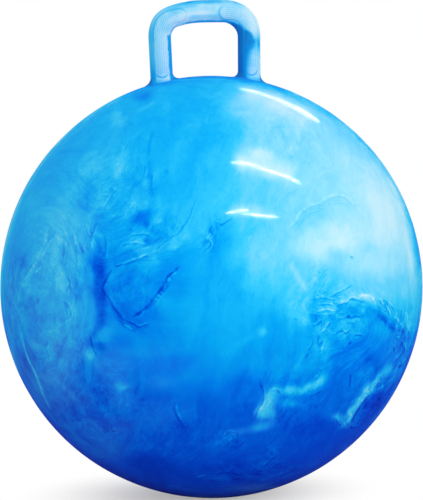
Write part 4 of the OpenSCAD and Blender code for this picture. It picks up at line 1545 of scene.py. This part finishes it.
# What light sees of the floor, and the shadow round the ball's foot: its middle, reach, core and share
FLOOR_TINT = (0.87, 0.81, 0.67, 1)
SHADOW_MIDDLE = (-0.02, 0.02, 0)
SHADOW_REACH = 0.205
SHADOW_CORE = 0.03
SHADOW_SHARE = 0.62
SKY_LIGHT = 0.87


def make_floor():
    """A floor that the camera and reflections see as white, but for the ball's shadow."""
    corners = [(x * FLOOR_R, y * FLOOR_R, 0) for x, y in ((-1, -1), (1, -1), (1, 1), (-1, 1))]
    mesh = bpy.data.meshes.new("floor")
    mesh.from_pydata(corners, [], [(0, 1, 2, 3)])
    finish = Finish("floor_white")
    offset = finish.vectors("SUBTRACT", finish.place, SHADOW_MIDDLE)
    distance = finish.add("ShaderNodeVectorMath", {"operation": "LENGTH"}, {0: offset}, out="Value")
    shadow = finish.step(distance, SHADOW_REACH, SHADOW_CORE) * SHADOW_SHARE
    plain = finish.add("ShaderNodeBsdfDiffuse", {}, {"Color": FLOOR_TINT})
    white = finish.add("ShaderNodeEmission", {}, {"Color": WHITE, "Strength": 1.0})
    shown_white = finish.seen_directly() * (1 - shadow)
    shader = finish.add("ShaderNodeMixShader", {}, {0: shown_white, 1: plain, 2: white})
    finish.add("ShaderNodeOutputMaterial", {}, {"Surface": shader})
    floor = bpy.data.objects.new("floor", mesh)
    bpy.context.scene.collection.objects.link(floor)
    mesh.materials.append(finish.material)


def make_world():
    """An even white sky: 1 where the camera or a reflection sees it, and a plain level as light."""
    world = bpy.data.worlds.new("studio")
    world.use_nodes = True
    bpy.context.scene.world = world
    nodes = Recipe(world.node_tree)
    nodes.tree.nodes.clear()
    strength = SKY_LIGHT + nodes.seen_directly() * (1 - SKY_LIGHT)
    sky = nodes.add("ShaderNodeBackground", {}, {"Color": WHITE, "Strength": strength})
    nodes.add("ShaderNodeOutputWorld", {}, {"Surface": sky})


def lamp(name, place, aim, width, length, energy, along=(1, 0, 0)):
    """A flat lamp of a width and a length, at a place, facing its aim, with its length along a direction."""
    data = bpy.data.lights.new(name, "AREA")
    data.shape = "RECTANGLE"
    data.size, data.size_y, data.energy = length, width, energy
    back = (Vector(place) - Vector(aim)).normalized()
    along = Vector(along)
    along = (along - back * along.dot(back)).normalized()
    item = bpy.data.objects.new(name, data)
    item.matrix_world = placed(along, back.cross(along), back, place)
    bpy.context.scene.collection.objects.link(item)
    return item


# Soft lamps: name, place from the ball's middle, width, length and energy
SOFT_LAMPS = (
    ("soft_key", (0.9, -1.2, 2.0), 1.2, 1.2, 5),
    ("low_fill", (0.5, -1.8, -0.19), 1.0, 0.06, 12),
)

# Streaks of reflected light: their ends in the photograph, and their lamps' height over the ball's middle,
# widths and radiances. The two wide, dim ones give the upper streak its glow.
STRIP_HEIGHT = 1.2
STREAK_LAMPS = (
    ((234, 87.4), (247, 89.4), 0.14, 240),
    ((246, 89.2), (264, 94.2), 0.13, 200),
    ((263, 93.9), (282, 101.2), 0.15, 150),
    ((281, 100.8), (300, 110.8), 0.17, 180),
    ((299, 110.2), (313, 117.8), 0.24, 230),
    ((312, 117.2), (319, 122.2), 0.15, 300),
    ((240, 89), (282, 101), 0.32, 16),
    ((281, 100.8), (316, 119.5), 0.40, 20),
    ((231, 163.8), (246, 163.4), 0.036, 640),
    ((245, 163.4), (254, 164.9), 0.042, 700),
    ((253, 165), (265, 168.6), 0.032, 680),
    ((264, 168.3), (273, 170.2), 0.022, 600),
    ((272, 170), (280, 172.8), 0.036, 980),
    ((279, 172.6), (289, 176.3), 0.030, 1000),
    ((288, 176.1), (299, 182), 0.028, 1300),
    ((226.5, 213), (236, 211.5), 0.024, 2900),
    ((235, 211.6), (248, 209), 0.017, 2600),
    ((243, 213.8), (253, 214.6), 0.017, 2500),
    ((252, 214.5), (262, 215.6), 0.023, 2700),
    ((261, 215.5), (273, 217), 0.018, 3500),
    ((272, 217), (279, 218.2), 0.016, 3000),
)


def strip_end(pixel):
    """Where a ray through a pixel, turned back by the ball, reaches the level of the strip lamps."""
    hit = photo.on_ball(*pixel)
    normal = (hit - MIDDLE).normalized()
    ray = (hit - photo.eye).normalized()
    ray = ray - normal * 2 * ray.dot(normal)
    level = MIDDLE.z + STRIP_HEIGHT
    return hit + ray * ((level - hit.z) / ray.z)


def light_scene():
    """The sky, the soft lamps, and the narrow ones that only draw streaks of light on the ball."""
    make_world()
    for k, (first, last, width, radiance) in enumerate(STREAK_LAMPS):
        start, end = strip_end(first), strip_end(last)
        length = (end - start).length
        energy = radiance * math.pi * width * length
        middle = (start + end) / 2
        below = middle - Vector((0, 0, 1))
        strip = lamp(f"strip_{k}", middle, below, width, length, energy, end - start)
        strip.visible_diffuse = False
    for name, place, width, length, energy in SOFT_LAMPS:
        soft = lamp(name, MIDDLE + Vector(place), MIDDLE, width, length, energy)
        soft.visible_glossy = False


# Scene

photo.camera()
make_ball()
handle = make_handle()
make_grip_dots(handle)
dress_valve()
make_floor()
light_scene()

bpy.context.scene.view_settings.view_transform = "Standard"
